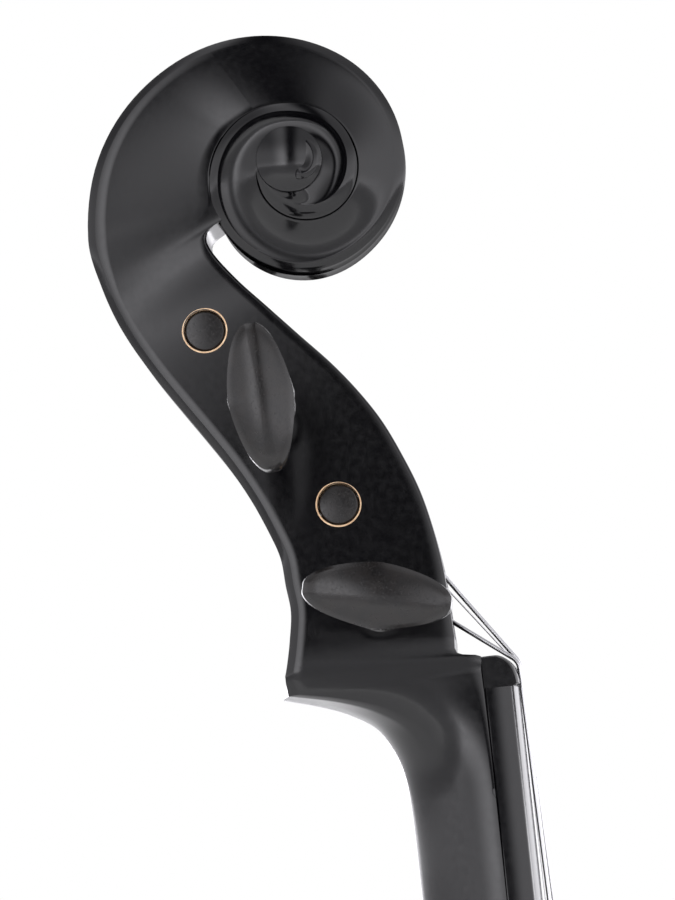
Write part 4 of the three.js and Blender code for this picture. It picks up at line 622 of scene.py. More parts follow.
def box_ring(values, row):
    """One section of the neck or the pegbox, with the pegbox's hollow where there is one."""
    back_y, back_z, front_y, front_z, rear, fore, roundness = values
    flute = FLUTE * rise(row, 5, 12)

    def half(length):
        points = ribbon(length, rear, flute)
        lip = BEVEL / 2
        for k in range(1, CHEEK_STEPS + 1):
            t = k / CHEEK_STEPS
            points.append((4 + 3 * t, mix(length - CHAMFER, lip, t), mix(rear, fore, t)))
        for t in quarter(LIP_STEPS, 1):
            points.append((7 + t / (math.pi / 2), lip * (1 - math.sin(t)), fore - lip * (1 - math.cos(t))))
        out = []
        for place, height, x in points:
            i = min(int(place), 6)
            turn = math.radians(mix(ROUND_TURNS[i], ROUND_TURNS[i + 1], min(place - i, 1.0)))
            round_h = length * max(math.cos(turn), 0.0) ** NECK_BOW
            round_x = fore * math.sin(turn) ** NECK_BOW * (1 - NECK_PINCH * math.cos(turn))
            out.append((mix(height, round_h, roundness), mix(x, round_x, roundness)))
        depth = cavity_depth(row, length)
        mouth = fore - WALL
        floor_x = mouth - DRAFT
        soft = min(MOUTH_ROUND, depth / 3)
        out += [(soft * (1 - math.cos(a)), mouth + MOUTH_ROUND * (1 - math.sin(a))) for a in quarter(MOUTH_STEPS)]
        for k in range(1, WALL_STEPS + 1):
            s = k / WALL_STEPS
            out.append((mix(soft, max(depth - 2 * soft, soft), s), mix(mouth, floor_x, s)))
        for k in range(1, BASE_STEPS):
            s = k / BASE_STEPS / COVE_SHARE
            if s < 1:
                a = math.pi / 2 * s
                out.append((max(depth - 2 * soft * (1 - math.sin(a)), 0), floor_x - COVE * (1 - math.cos(a))))
            else:
                out.append((depth, (floor_x - COVE) * (1 - k / BASE_STEPS) / (1 - COVE_SHARE)))
        return out + [(depth, 0.0)]

    return ring_from((front_y, front_z), (back_y, back_z), half)


def cavity_depth(row, length):
    first, last = CAVITY
    inside = rise(row, first - 0.06, first + 0.06) * (1 - rise(row, last - 0.1, last + 0.35))
    ends = 1 - rise(row, first, first + 1) + rise(row, last - 1, last)
    return max(length - FLOOR * (1 + ends), 0) * inside


def scroll_ring(turn, steps=CHEEK_STEPS + 12):
    """A section of the scroll: the fluted back, the chamfered ridge and the wall in to the next turn's foot."""
    radius = ridge_radius(turn)
    sunk = rise(turn, *END_SINKS)
    fade = rise(turn, *FLUTE_FADES)
    wide = mix(ridge_width(turn), EYE_LEVEL - 1.0, sunk)
    flute = FLUTE * (1 - 0.8 * fade)
    chamfer = mix(CHAMFER, 0.8, fade)
    inner = max(ridge_radius(turn + 360) - flute - chamfer, chamfer)
    inner = mix(inner, 0.02, rise(turn, *WALL_CLOSES))
    climb = mix(mix(0.2, 0.5, rise(turn, *CLIMB_COMES)), 0.3, rise(turn, *CLIMB_EASES))
    foot = wide + climb * (ridge_width(turn + 360) - wide)
    root = mix(foot, EYE_LEVEL - sunk, rise(turn, *WALL_LEVELS))
    dish = DISH * rise(turn, *DISH_COMES) * (1 - rise(turn, *DISH_GOES))
    groove = rise(turn, *GROOVE_COMES) * (1 - rise(turn, *GROOVE_GOES))
    even = rise(turn, *WALL_EVEN)
    bulge = rise(turn, *WALL_BULGES)
    angle = math.radians(turn)
    back = (EYE[0] + radius * math.cos(angle), EYE[1] + radius * math.sin(angle))

    def half(length):
        out = [(h, x) for _, h, x in ribbon(length, wide, flute, chamfer)]
        top = length - chamfer
        low = min(inner, top)
        line = ridge_radius(turn + 360)
        marks = [(min(max(line + over, low), 0.9 * top), depth * groove) for over, depth in FOOT_GROOVE]
        plain = steps - len(marks)
        places = [(mix(top, marks[0][0], k / plain), 0.0) for k in range(1, plain)] + marks + [(low, 0.0)]
        for k, (place, cut) in enumerate(places):
            height = mix(place, mix(top, low, (k + 1) / steps), even)
            s = (top - height) / max(top - low, 0.001)
            share = mix(s**1.35, rise(s, 0.0, 0.62), bulge)
            x = mix(wide, root, share) - dish * math.sin(math.pi * s**0.8)
            out.append((height, x - cut))
        # The ring then runs on to the middle, inside the skin, with as many points as a section of the pegbox
        rest = HALF_STEPS - steps
        h0, x0 = out[-1]
        for k in range(1, rest + 1):
            t = k / rest
            out.append((mix(h0, 0.0, min(2 * t, 1.0)), x0 if t < 1 else 0.0))
        return out

    return ring_from(EYE, back, half)


def turns_from(start, end):
    count = round((end - start) / TURN_STEP)
    return [mix(start, end, i / count) for i in range(count + 1)]


def head_rings():
    """The rings from the heel to the top of the scroll."""
    rows = []
    for down, heel, wide in HEEL:
        z, half = -NECK_STOP * down, NUT_HALF * wide
        rows.append([mix(NECK_DEPTH, BODY_THICK + 5, heel), z, 0, z, half, half, 1])
    for by, bz, fy, fz, rear, fore, roundness in PEGBOX:
        rows.append([by * HEAD, bz * HEAD, fy * HEAD, fz * HEAD, rear * EYE_WIDTH, fore * EYE_WIDTH, roundness])
    heels = len(HEEL)
    places = [0.0]
    for a, b in zip(rows, rows[1:]):
        places.append(places[-1] + 0.5 * (math.dist(a[:2], b[:2]) + math.dist(a[2:4], b[2:4])))

    def ring_at(row):
        i = min(int(row), len(rows) - 2)
        place = mix(places[i], places[i + 1], row - i)
        values = hermite(rows, places, place, corners=(heels + CHIN,))
        values[6] = min(max(values[6], 0.0), 1.0)
        return box_ring(values, row - heels)

    found = [len(rows) - 1]
    for i in range(len(rows) - 1):
        steps = max(3, round((places[i + 1] - places[i]) / 0.9))
        found += [i + k / steps for k in range(steps)]
    first, last = CAVITY
    found += [heels + first + d for d in (-0.07, -0.045, -0.03, -0.015, 0, 0.015, 0.03, 0.045, 0.07)]
    found += [heels + last + d for d in (-0.05, 0.0, 0.05, 0.1, 0.15, 0.2, 0.3, 0.36)]
    box = [ring_at(row) for row in sorted(set(found))]
    first_turn = [scroll_ring(turn, CHEEK_STEPS) for turn in turns_from(SCROLL_START, SCROLL_JOIN)]
    bridge = []
    for k in range(1, BRIDGE_RINGS + 1):
        ring = []
        for a, b, c, d in zip(box[-2], box[-1], first_turn[0], first_turn[1]):
            gap = (c - b).length
            ring.append(cubic(b, (b - a).normalized() * gap, c, (d - c).normalized() * gap, k / (BRIDGE_RINGS + 1)))
        bridge.append(ring)
    rings = box + bridge + first_turn
    # The widths are evened out where the pegbox runs into the scroll
    start, end = len(box) - 6, len(box) + len(bridge) + 16
    for _ in range(60):
        widths = [[p.x for p in ring] for ring in rings]
        for r in range(start, end):
            for p, before, here, after in zip(rings[r], widths[r - 1], widths[r], widths[r + 1]):
                p.x = 0.5 * here + 0.25 * (before + after)
    return rings


# Pegs: where each crosses the pegbox, as shares of the head's height

STRINGS = ["g", "d", "a", "e"]
PEG_PLACE = {"g": (0.1364, 0.1355), "e": (0.1879, 0.2981), "d": (0.2745, 0.4423), "a": (0.3619, 0.5822)}
PEG_TURN = {"g": 12.3, "d": 87.1, "a": 56.0, "e": 64.0}
PEG_SIDE = {"g": -1, "d": -1, "a": 1, "e": 1}
PEG_TIP = 3.45
PEG_TAPER = 1 / 30
PEG_SHOULDER = 12.0
PEG_RECESS = 0.7
COLLAR_LONG, COLLAR_RADIUS, COLLAR_EDGE, PEG_NECK = 3.2, 4.9, 4.3, 3.472
GRIP_LONG, GRIP_WIDE, GRIP_THICK, GRIP_BAND = 20.0, 12.5, 5.7, 1.15
RIM_DEPTH, RIM_WIDTH = 1.6, 0.32
STRING_RADIUS = {"g": 0.4, "d": 0.38, "a": 0.33, "e": 0.16}


def peg_place(name):
    return [share * HEAD for share in PEG_PLACE[name]]


def pegbox_at(name):
    """Half the pegbox's width at a peg, outside and inside."""
    point = Vector(peg_place(name))
    found = []
    for by, bz, fy, fz, rear, fore, _ in PEGBOX[8:]:
        front, line = Vector((fy, fz)) * HEAD, Vector((by - fy, bz - fz)) * HEAD
        share = min(max((point - front).dot(line) / line.dot(line), 0), 1)
        distance = (front + line * share - point).length
        found.append((distance, mix(fore, rear, share) * EYE_WIDTH, fore * EYE_WIDTH - WALL - DRAFT))
    return min(found)[1:]


def peg_radius(name, x):
    return PEG_TIP + (pegbox_at(name)[0] - PEG_RECESS + x * PEG_SIDE[name]) * PEG_TAPER / 2


def eye_button(side):
    """The domed button in the eye of one side."""
    edge = BUTTON_RADIUS + 0.1
    button = [(BUTTON_TOP - BUTTON_FALL * math.sin(t) ** 2, BUTTON_RADIUS * math.sin(t)) for t in quarter(12, 1)]
    button = [(BUTTON_TOP, AXIS), *button, (BUTTON_TOP - BUTTON_FALL - 0.25, edge), (-BUTTON_ROOT, edge)]
    profile = [(side * (EYE_LEVEL + over), radius) for over, radius in button]
    centre = (0, EYE[0] + BUTTON_AT[0], EYE[1] + BUTTON_AT[1])
    return make("eye_button", turned(profile[::side], 72, at=centre), NECK)


def build_head():
    skin = make("neck_and_scroll_skin", loft(head_rings()), NECK)
    cheeks = BVHTree.FromObject(skin, bpy.context.evaluated_depsgraph_get())
    holes = []
    for name in STRINGS:
        reach = pegbox_at(name)[0] + 3
        profile = [(x, peg_radius(name, x) + RUN / 2) for x in (-reach, reach)]
        holes.append(turned(profile, 64, at=(0, *peg_place(name))))
    carve(skin, holes, NECK)
    # The root is trimmed square to the body
    bm = bmesh.new()
    bm.from_mesh(skin.data)
    plane = (0, 0, (TOP_Z + SEAT) * MM)
    found = bmesh.ops.bisect_plane(
        bm, geom=bm.verts[:] + bm.edges[:] + bm.faces[:], plane_co=plane, plane_no=(0, 0, 1), clear_inner=True
    )
    edges = [e for e in found["geom_cut"] if isinstance(e, bmesh.types.BMEdge)]
    bmesh.ops.holes_fill(bm, edges=edges)
    bm.to_mesh(skin.data)
    bm.free()
    soften(skin)
    volute = make("volute", loft([scroll_ring(turn) for turn in turns_from(SCROLL_JOIN, SCROLL_END)]), NECK)
    join(skin, volute, eye_button(-1), eye_button(1))
    return dress(skin, "violin", "lacquer", "neck_and_scroll"), cheeks


cheeks = build_head()[1]


def cheek_x(y, z, side):
    """Where the pegbox's cheek is at a depth and a height of the neck's frame, in millimetres."""
    start = NECK @ (Vector((side * 60, y, z)) * MM)
    hit = cheeks.ray_cast(start, Vector((-side, 0, 0)))[0]
    return hit.x / MM


# Tapered pegs with a collar, and a flattened grip with hollow faces, a bevelled rim and a domed end


def almond():
    """The grip's outline as (share of the half width, share of the half thickness), with cut tips."""
    corner = [(math.cos(t), 0.14 + 0.86 * math.sin(t) ** 1.25) for t in quarter(14)]
    right = corner + mirrored(corner[:-1])
    return right + [(-a, -b) for a, b in right]


def grip_rings(start):
    """The grip's sections outwards: a waist, hollow faces, a bevelled rim and a domed end."""
    # Sections as (place, share of the width, share of the thickness)
    stations = [
        [0, 0.28, 0.6], [0.15, 0.42, 0.66], [0.38, 0.78, 0.8], [0.62, 0.97, 0.9], [0.85, 1, 1], [0.95, 0.985, 0.97],
    ]
    places = [s[0] for s in stations]
    rings = []
    for k in range(31):
        out = places[-1] * k / 30
        _, wide, thick = hermite(stations, places, out)
        dish = 0.3 * math.sin(math.pi * out)
        ring = []
        for a, b in almond():
            hollow = 1 - dish * (1 - abs(2 * abs(a) - 1)) ** 0.8
            ring.append(Vector((start + out * GRIP_LONG, GRIP_WIDE * wide * a, GRIP_THICK * thick * b * hollow)))
        rings.append(ring)
    edge = rings[-1]
    for share, lift in ((0.35, 0.42), (0.75, 0.85), (1.0, 1.0)):
        inset_y, inset_z = (1 - share * GRIP_BAND / half for half in (GRIP_WIDE, GRIP_THICK))
        rings.append([Vector((p.x + lift, p.y * inset_y, p.z * inset_z)) for p in edge])
    rim = rings[-1]
    for k in range(1, 9):
        lift, left = 0.9 * (1 - (1 - k / 8) ** 2), 1 - 0.985 * k / 8
        rings.append([Vector((p.x + lift, p.y * left, p.z * left)) for p in rim])
    return rings


def build_peg(name):
    cheek = pegbox_at(name)[0]
    side = PEG_SIDE[name]
    y, z = peg_place(name)
    tip = -cheek + PEG_RECESS
    collar = cheek + PEG_SHOULDER
    start = collar + COLLAR_LONG
    shank = closed([
        (tip, peg_radius(name, tip * side)), (collar, peg_radius(name, collar * side)),
        (collar, COLLAR_EDGE), (collar + 0.3 * COLLAR_LONG, COLLAR_RADIUS),
        (collar + 0.7 * COLLAR_LONG, COLLAR_RADIUS), (start, COLLAR_EDGE),
        (start, PEG_NECK), (start + COLLAR_LONG, PEG_NECK),
    ])
    points, faces = loft(grip_rings(start))
    turn = Matrix.Rotation(math.radians(PEG_TURN[name]), 3, "X")
    parts = [turned(soft_profile(shank), 56), ([turn @ p for p in points], faces)]
    place = NECK @ Matrix.Translation(Vector((0, y, z)) * MM) @ Matrix.Diagonal((side, 1, 1, 1))
    peg = make(f"peg_{name}_fine", parts, place, angle=28.0)
    dress(peg, f"{name}_peg", "ebony", f"peg_{name}")
    # Bare wood shows as a ring round the hole of the thin end, where the lacquer stops
    inner = peg_radius(name, cheek_x(y + 6, z, -side)) + RUN / 2
    outer = inner + RIM_WIDTH
    profile = [
        (-RIM_DEPTH, inner), (-0.1, inner), (0.03, inner + 0.1), (0.05, outer - 0.1), (0.02, outer),
        (-RIM_DEPTH, outer),
    ]
    columns = []
    for t in turns(72):
        c, s = math.cos(t), math.sin(t)
        face = cheek_x(y + outer * 1.15 * c, z + outer * 1.15 * s, -side)
        columns.append([Vector((face - side * out, y + r * c, z + r * s)) for out, r in profile])
    ring = make(f"hole_ring_{name}", loft(columns + columns[:1], capped=False), NECK)
    dress(ring, "violin", "maple", finish=bare_wood)


for name in STRINGS:
    build_peg(name)

# Fingerboard and nut, seated on the neck with no gap that shows

BOARD_LENGTH, BOARD_END_HALF, BOARD_EDGE, BOARD_RADIUS, BOARD_SCOOP = 270.0, 21.0, 4.5, 42.0, 2.2
NUT_THICK, NUT_EDGE, NUT_RISE = 5.6, 5.9, 0.7
STRING_LENGTH = 328.0
BOARD_UNDER = (-0.9, -0.8, -0.7, -0.4, 0, 0.4, 0.7, 0.8, 0.9)
# The strings' spacing on the nut, the bridge and the tuners; the winding's turns and the gap between them
NUT_SPACING, BRIDGE_SPACING, TUNER_SPACING = 5.5, 11.3, 9.6
WINDING_TURNS, WINDING_LEAD, WINDING_GAP = 2.5, 1.1, 0.44
BALL_RADIUS = 1.9
GROOVE_GAP = 0.06
PATH_BEND = 1.2


def board_half(z):
    return mix(NUT_HALF, BOARD_END_HALF, -z / BOARD_LENGTH)


def board_top(x, z):
    return BOARD_EDGE + sagitta(board_half(z), BOARD_RADIUS) - sagitta(x, BOARD_RADIUS)


def build_fingerboard():
    free = -NECK_STOP - BOARD_EDGE
    stations = [0.0, -0.2, -0.5] + [free * k / 12 for k in range(1, 12)] + [free + 0.4, free]
    stations += [free - 8.4, -220.0, -BOARD_LENGTH + 0.6, -BOARD_LENGTH + 0.2, -BOARD_LENGTH]
    soft = 0.7
    rings = []
    for z in stations:
        half = board_half(z)
        end = 0.6 * max(0.6 - min(-z, BOARD_LENGTH + z), 0.0) if z < -200 else 0.0
        hollow = BOARD_SCOOP * rise(-z, -free, -free + 8.4)
        low = 0.05 + (SEAT - 0.05) * rise(-z, -free - 3, -free)
        across = [(1 - k / 16) * (half - soft) for k in range(33)]
        top = [(x, -board_top(x, z) + end) for x in across]
        side = []
        for angle in (80, 60, 40, 20):
            t = math.radians(angle)
            side.append((half - soft * (1 - math.sin(t)), top[0][1] + soft * (1 - math.cos(t))))
        under = [(x * half, -low - hollow * rise(1 - abs(x), 0.1, 0.3)) for x in BOARD_UNDER]
        under = [(0.3 - half, -low), *under, (half - 0.3, -low)]
        edge = [(half, -low - 0.3)]
        section = side + top + mirrored(side) + [(-half, -low - 0.3)] + under + edge
        rings.append([Vector((x, y, z)) for x, y in section])
    piece("fingerboard", loft(rings), "violin", "lacquer", NECK, 40.0)


build_fingerboard()


def string_place(i):
    """A string's place from the middle, in spacings."""
    return i - 1.5


def nut_top(x):
    return NUT_EDGE + NUT_RISE * (1 - (x / NUT_HALF) ** 2)


CROWN_Y = FRONT_Y - SEAT - 33.0
BRIDGE_Z = -STRING_LENGTH * math.cos(LEAN)
TAIL_LENGTH = 96.0
GUT_RADIUS = 1.05
GUT_OVER_Y = FRONT_Y - 5.0 - SEAT - GUT_RADIUS
TAIL_LEAN = math.asin((GUT_OVER_Y - 4.7 - CROWN_Y - 8.8) / TAIL_LENGTH)
TAIL_HEAD = Vector((0, CROWN_Y + 8.8, TAIL_Z + 5.4 + 3.4 + TAIL_LENGTH * math.cos(TAIL_LEAN)))
TAIL_FRAME = Matrix.Translation(TAIL_HEAD * MM) @ Matrix.Rotation(TAIL_LEAN, 4, "X")
BALL_Z = -5.6 - 1.1 - SEAT - BALL_RADIUS


def nut_point(i):
    x = string_place(i) * NUT_SPACING
    return Vector((x, -nut_top(x) - 0.3 * STRING_RADIUS[STRINGS[i]], 0.25 * NUT_THICK))


def past_nut(i):
    return nut_point(i) + Vector((0, 0.25 * STRING_RADIUS[STRINGS[i]], 0.5 * NUT_THICK))


def bridge_point(i):
    x = string_place(i) * BRIDGE_SPACING
    return Vector((x, CROWN_Y + sagitta(x, BOARD_RADIUS), BRIDGE_Z))


def winding_pitch(name):
    return 2 * STRING_RADIUS[name] + WINDING_GAP


def meeting(i):
    """Where a string reaches its peg: the point, the run's direction and the normal."""
    name = STRINGS[i]
    y, z = peg_place(name)
    radius = STRING_RADIUS[name]
    wound = (WINDING_TURNS + WINDING_LEAD) * winding_pitch(name)
    x = PEG_SIDE[name] * (pegbox_at(name)[1] - RUN - radius - wound)
    start = nut_point(i)
    run = Vector((0, y - start.y, z - start.z)).normalized()
    normal = Vector((0, -run.z, run.y))
    return Vector((x, y, z)) + normal * (peg_radius(name, x) + RUN + radius), run, normal


def rounded_path(points, radius, steps=6):
    """A path of straight runs with its corners rounded."""
    out = [points[0]]
    for a, b, c in zip(points, points[1:], points[2:]):
        r = min(radius, 0.45 * (b - a).length, 0.45 * (c - b).length)
        p, q = b + (a - b).normalized() * r, b + (c - b).normalized() * r
        out += [p.lerp(b, k / steps).lerp(b.lerp(q, k / steps), k / steps) for k in range(steps + 1)]
    return out + [points[-1]]


def in_row(frame_matrix, point):
    """A point of another frame in the row frame, in millimetres."""
    return (frame_matrix @ (Vector(point) * MM)) / MM


def build_string(i):
    name = STRINGS[i]
    radius = STRING_RADIUS[name]
    point, run, _ = meeting(i)
    bridge, nut, over = bridge_point(i), NECK @ nut_point(i), NECK @ past_nut(i)
    hook = in_row(TAIL_FRAME, (string_place(i) * TUNER_SPACING, 0, BALL_Z))
    along, tail = (nut - bridge).normalized(), (hook - bridge).normalized()
    path = [hook, bridge + tail * 1.5, bridge + along * 1.5, nut, over, NECK @ (point - run * radius)]
    ball = [(-BALL_RADIUS * math.cos(t), max(BALL_RADIUS * math.sin(t), 0.02)) for t in turns(24)[:13]]
    parts = [tube(rounded_path(path, PATH_BEND), radius, 16), turned(ball, 24, "x", hook)]
    piece(f"string_{name}", parts, "violin", "string_steel")


def build_winding(i):
    name = STRINGS[i]
    y, z = peg_place(name)
    point, run, normal = meeting(i)
    radius = STRING_RADIUS[name]
    side, pitch, steps = PEG_SIDE[name], winding_pitch(name), 64
    path = []
    for k in range(int(steps * WINDING_TURNS) + 1):
        x = point.x + side * pitch * (WINDING_LEAD + k / steps)
        angle = 2 * math.pi * k / steps
        out = normal * math.cos(angle) + run * math.sin(angle)
        path.append(Vector((x, y, z)) + out * (peg_radius(name, x) + RUN + radius))
    path.append(path[-1] + (path[-1] - path[-2]).normalized() * 2 * radius)
    path.insert(0, path[0] + (path[0] - path[1]).normalized() * 2 * radius)
    piece(f"winding_{name}", tube(path, radius, 14), f"{name}_peg", "string_steel", NECK)


for i in range(len(STRINGS)):
    build_string(i)
    build_winding(i)


def build_nut():
    """The nut: a rounded brow over the pegbox, level with the board's sides, with a groove for each string."""
    high, brow, foot = NUT_EDGE, 0.9, 0.02
    outline = [(-foot, foot), (-high + brow, foot)]
    outline += [(-high + brow * (1 - math.sin(a)), foot + 0.5 * (1 - math.cos(a))) for a in quarter(5, 1)]
    outline += [
        (-high + 0.62 * high * (1 - math.cos(a)), 0.52 + (NUT_THICK - 0.6) * math.sin(a)) for a in quarter(12, 1)
    ]
    outline.append((-foot, 0.98 * NUT_THICK))
    rings = []
    for k in range(41):
        share = 1 - k / 20
        x = share * NUT_HALF
        end = (max(abs(share) - 0.95, 0) / 0.05) ** 2
        taller = nut_top(x) / NUT_EDGE
        ring = []
        for y, z in outline:
            y = y * taller if y < -1 else y
            ring.append(Vector((x, y + 0.35 * end if y < -1 else y, z - 0.25 * end if z > 1 else z)))
        rings.append(ring)
    nut = make("nut_fine", loft(rings), NECK, angle=40.0)
    grooves = []
    for i, name in enumerate(STRINGS):
        start, over = nut_point(i), past_nut(i)
        path = [start - Vector((0, 0, 6)), start, over, over + (meeting(i)[0] - over).normalized() * 8]
        grooves.append(tube(rounded_path(path, PATH_BEND), STRING_RADIUS[name] + GROOVE_GAP, 20))
    carve(nut, grooves, NECK, angle=40.0)
    dress(nut, "violin", "lacquer", "nut")


build_nut()

# Body: a core with rolled edges that carries the neck, and an arm for each bout

CORE_HALF, CORE_FRONT, CORE_BACK = 45.0, 6.0, 8.0
CORE_BASS = [0.5, 0.8, 0.86, 0.8, 0.72, 0.68, 0.7, 0.8, 0.92, 1, 1.02, 1, 0.93]
CORE_TREBLE = [0.5, 0.9, 0.98, 0.9, 0.78, 0.74, 0.84, 1.02, 1.04, 1.04, 1.02, 0.88, 0.56]
TREBLE_ARM = [
    (0.21, 0.05), (0.6, 0.042), (0.87, 0.085), (1, 0.165), (0.95, 0.245), (0.8, 0.32), (0.62, 0.385), (0.46, 0.45),
    (0.26, 0.51),
]
BASS_ARM = [
    (0.2, 0.525), (0.48, 0.56), (0.78, 0.62), (0.96, 0.705), (1, 0.795), (0.95, 0.88), (0.8, 0.94), (0.55, 0.967),
    (0.25, 0.962),
]
UPPER_HALF, LOWER_HALF = 84.0, 104.0
ARM_THICK, ARM_WIDTH, ARM_ROOT, ARM_CORNER = 24.0, 13.5, 21.0, 5.5
BODY_LENGTH = TOP_Z - TAIL_Z
OVERRUN = 2.0


def core_section(z, inset):
    """The core's section at a height, moved inwards."""
    place = (TOP_Z - z) / BODY_LENGTH * (len(CORE_BASS) - 1)
    bass = -min(from_table(CORE_BASS, place), 1) * CORE_HALF + inset
    treble = min(from_table(CORE_TREBLE, place), 1) * CORE_HALF - inset
    front, back = FRONT_Y + inset, BACK_Y - inset
    corners = [
        (treble, front, CORE_FRONT, 1, -1), (treble, back, CORE_BACK, 1, 1),
        (bass, back, CORE_BACK, -1, 1), (bass, front, CORE_FRONT, -1, -1),
    ]
    ring = []
    for x, y, radius, side_x, side_y in corners:
        for t in quarter(10)[::side_x * side_y]:
            ring.append(Vector((x - side_x * radius * (1 - math.cos(t)), y - side_y * radius * (1 - math.sin(t)), z)))
    return ring


def core_parts():
    bevel, count = 0.3 * CORE_FRONT, 120
    levels = [(TOP_Z - bevel * (1 - math.cos(t)), bevel * (1 - math.sin(t))) for t in quarter(4)]
    levels += [(TOP_Z - bevel - (BODY_LENGTH - 2 * bevel) * k / count, 0) for k in range(1, count)]
    levels += [(TAIL_Z + bevel * (1 - math.sin(t)), bevel * (1 - math.cos(t))) for t in quarter(4)]
    return loft([core_section(z, inset) for z, inset in levels])


def smooth_line(points, count):
    """A centripetal spline through points, as three.js draws it."""
    ends = [points[0] * 2 - points[1]] + points + [points[-1] * 2 - points[-2]]
    out = []
    for k in range(count + 1):
        place = k / count * (len(points) - 1)
        i = min(int(place), len(points) - 2)
        t = place - i
        p = ends[i:i + 4]
        d = [max((p[n + 1] - p[n]).length ** 0.5, 1e-6) for n in range(3)]
        m1 = (p[1] - p[0]) / d[0] - (p[2] - p[0]) / (d[0] + d[1]) + (p[2] - p[1]) / d[1]
        m2 = (p[2] - p[1]) / d[1] - (p[3] - p[1]) / (d[1] + d[2]) + (p[3] - p[2]) / d[2]
        m1, m2 = m1 * d[1], m2 * d[1]
        out.append(cubic(p[1], m1, p[2], m2, t))
    return out


def rounded_rectangle(centre, half, corner):
    out = []
    for q, (side_u, side_v) in enumerate(((1, 1), (-1, 1), (-1, -1), (1, -1))):
        for t in quarter(8):
            a = t + math.pi / 2 * q
            u = side_u * (half[0] - corner) + corner * math.cos(a)
            v = side_v * (half[1] - corner) + corner * math.sin(a)
            out.append((centre[0] + u, centre[1] + v))
    return out


def arm_parts(shares, reach):
    """An arm along a line of (share of the reach, share of the body's length), thicker at its roots."""
    middle, half = (FRONT_Y + BACK_Y) / 2, ARM_THICK / 2
    line = smooth_line([Vector((across * reach, 0, TOP_Z - down * BODY_LENGTH)) for across, down in shares], 120)
    rings = []
    for i, (p, along) in enumerate(zip(line, neighbours(line))):
        wide = mix(ARM_WIDTH, ARM_ROOT, abs(2 * i / (len(line) - 1) - 1) ** 3) / 2
        section = rounded_rectangle((0, middle), (wide, half), ARM_CORNER)
        rings.append([Vector((p.x - along.z * out, y, p.z + along.x * out)) for out, y in section])
    return loft(rings)


def on_back(u, v, depth):
    return Vector((u, depth, v))


def slab(centre, half, corner, near, far):
    """A plate with rounded corners in the plane of the back, between two depths."""
    section = rounded_rectangle(centre, half, corner)
    return loft([[on_back(u, v, depth) for u, v in section] for depth in (near, far)])


def box_parts(low, high):
    """A plain box between two corners."""
    (x0, y0, z0), (x1, y1, z1) = low, high
    return loft([[Vector((x, y, z)) for x, z in ((x0, z0), (x1, z0), (x1, z1), (x0, z1))] for y in (y0, y1)])


def grown(half, gap):
    return half[0] + gap, half[1] + gap


SIDE_WALL, FRONT_WALL = 7.4, 6.5
CAVITY_Z, CAVITY_LEFT, CAVITY_LONG = TAIL_Z + 122.0, -24.0, 28.0
CAVITY_CENTRE = ((CAVITY_LEFT + CORE_HALF - SIDE_WALL) / 2, CAVITY_Z)
CAVITY_HALF = ((CORE_HALF - SIDE_WALL - CAVITY_LEFT) / 2, CAVITY_LONG)
COVER_MARGIN, COVER_THICK, COVER_CORNER = 5.0, 2.0, 5.0
COVER_HALF = grown(CAVITY_HALF, COVER_MARGIN)
SCREWS_HALF = grown(COVER_HALF, -0.85 * COVER_MARGIN)
COVER_SCREWS = [
    (CAVITY_CENTRE[0] + x * SCREWS_HALF[0], CAVITY_CENTRE[1] + z * SCREWS_HALF[1])
    for x, z in ((-1, -1), (1, -1), (-1, 1), (1, 1))
]
BOX_CENTRE, BOX_HALF, BOX_FLANGE, BOX_WALL = (-11.0, TAIL_Z + 54.0), (16.0, 30.0), 3.2, 1.6
BOX_DEPTH = 22.0
CONTROL_Y = FRONT_Y + 14.5
CONTROL_Z = (CAVITY_Z + 14.0, CAVITY_Z - 14.0)
JACK_Z, JACK_RADIUS, JACK_LONG = TAIL_Z + 58.0, 6.6, 30.0
CONTROL_BORE, BUTTON_BORE, BUTTON_PIN, SCREW_BORE, SCREW_BORE_LONG = 3.8, 4.1, 18.0, 1.5, 12.0
BUTTON_Y = FRONT_Y + 0.5 * BODY_THICK
SADDLE_HALF, SADDLE_THICK, SADDLE_DEPTH, SADDLE_RISE = 14.0, 5.4, 4.0, 5.0
FIT = 0.1


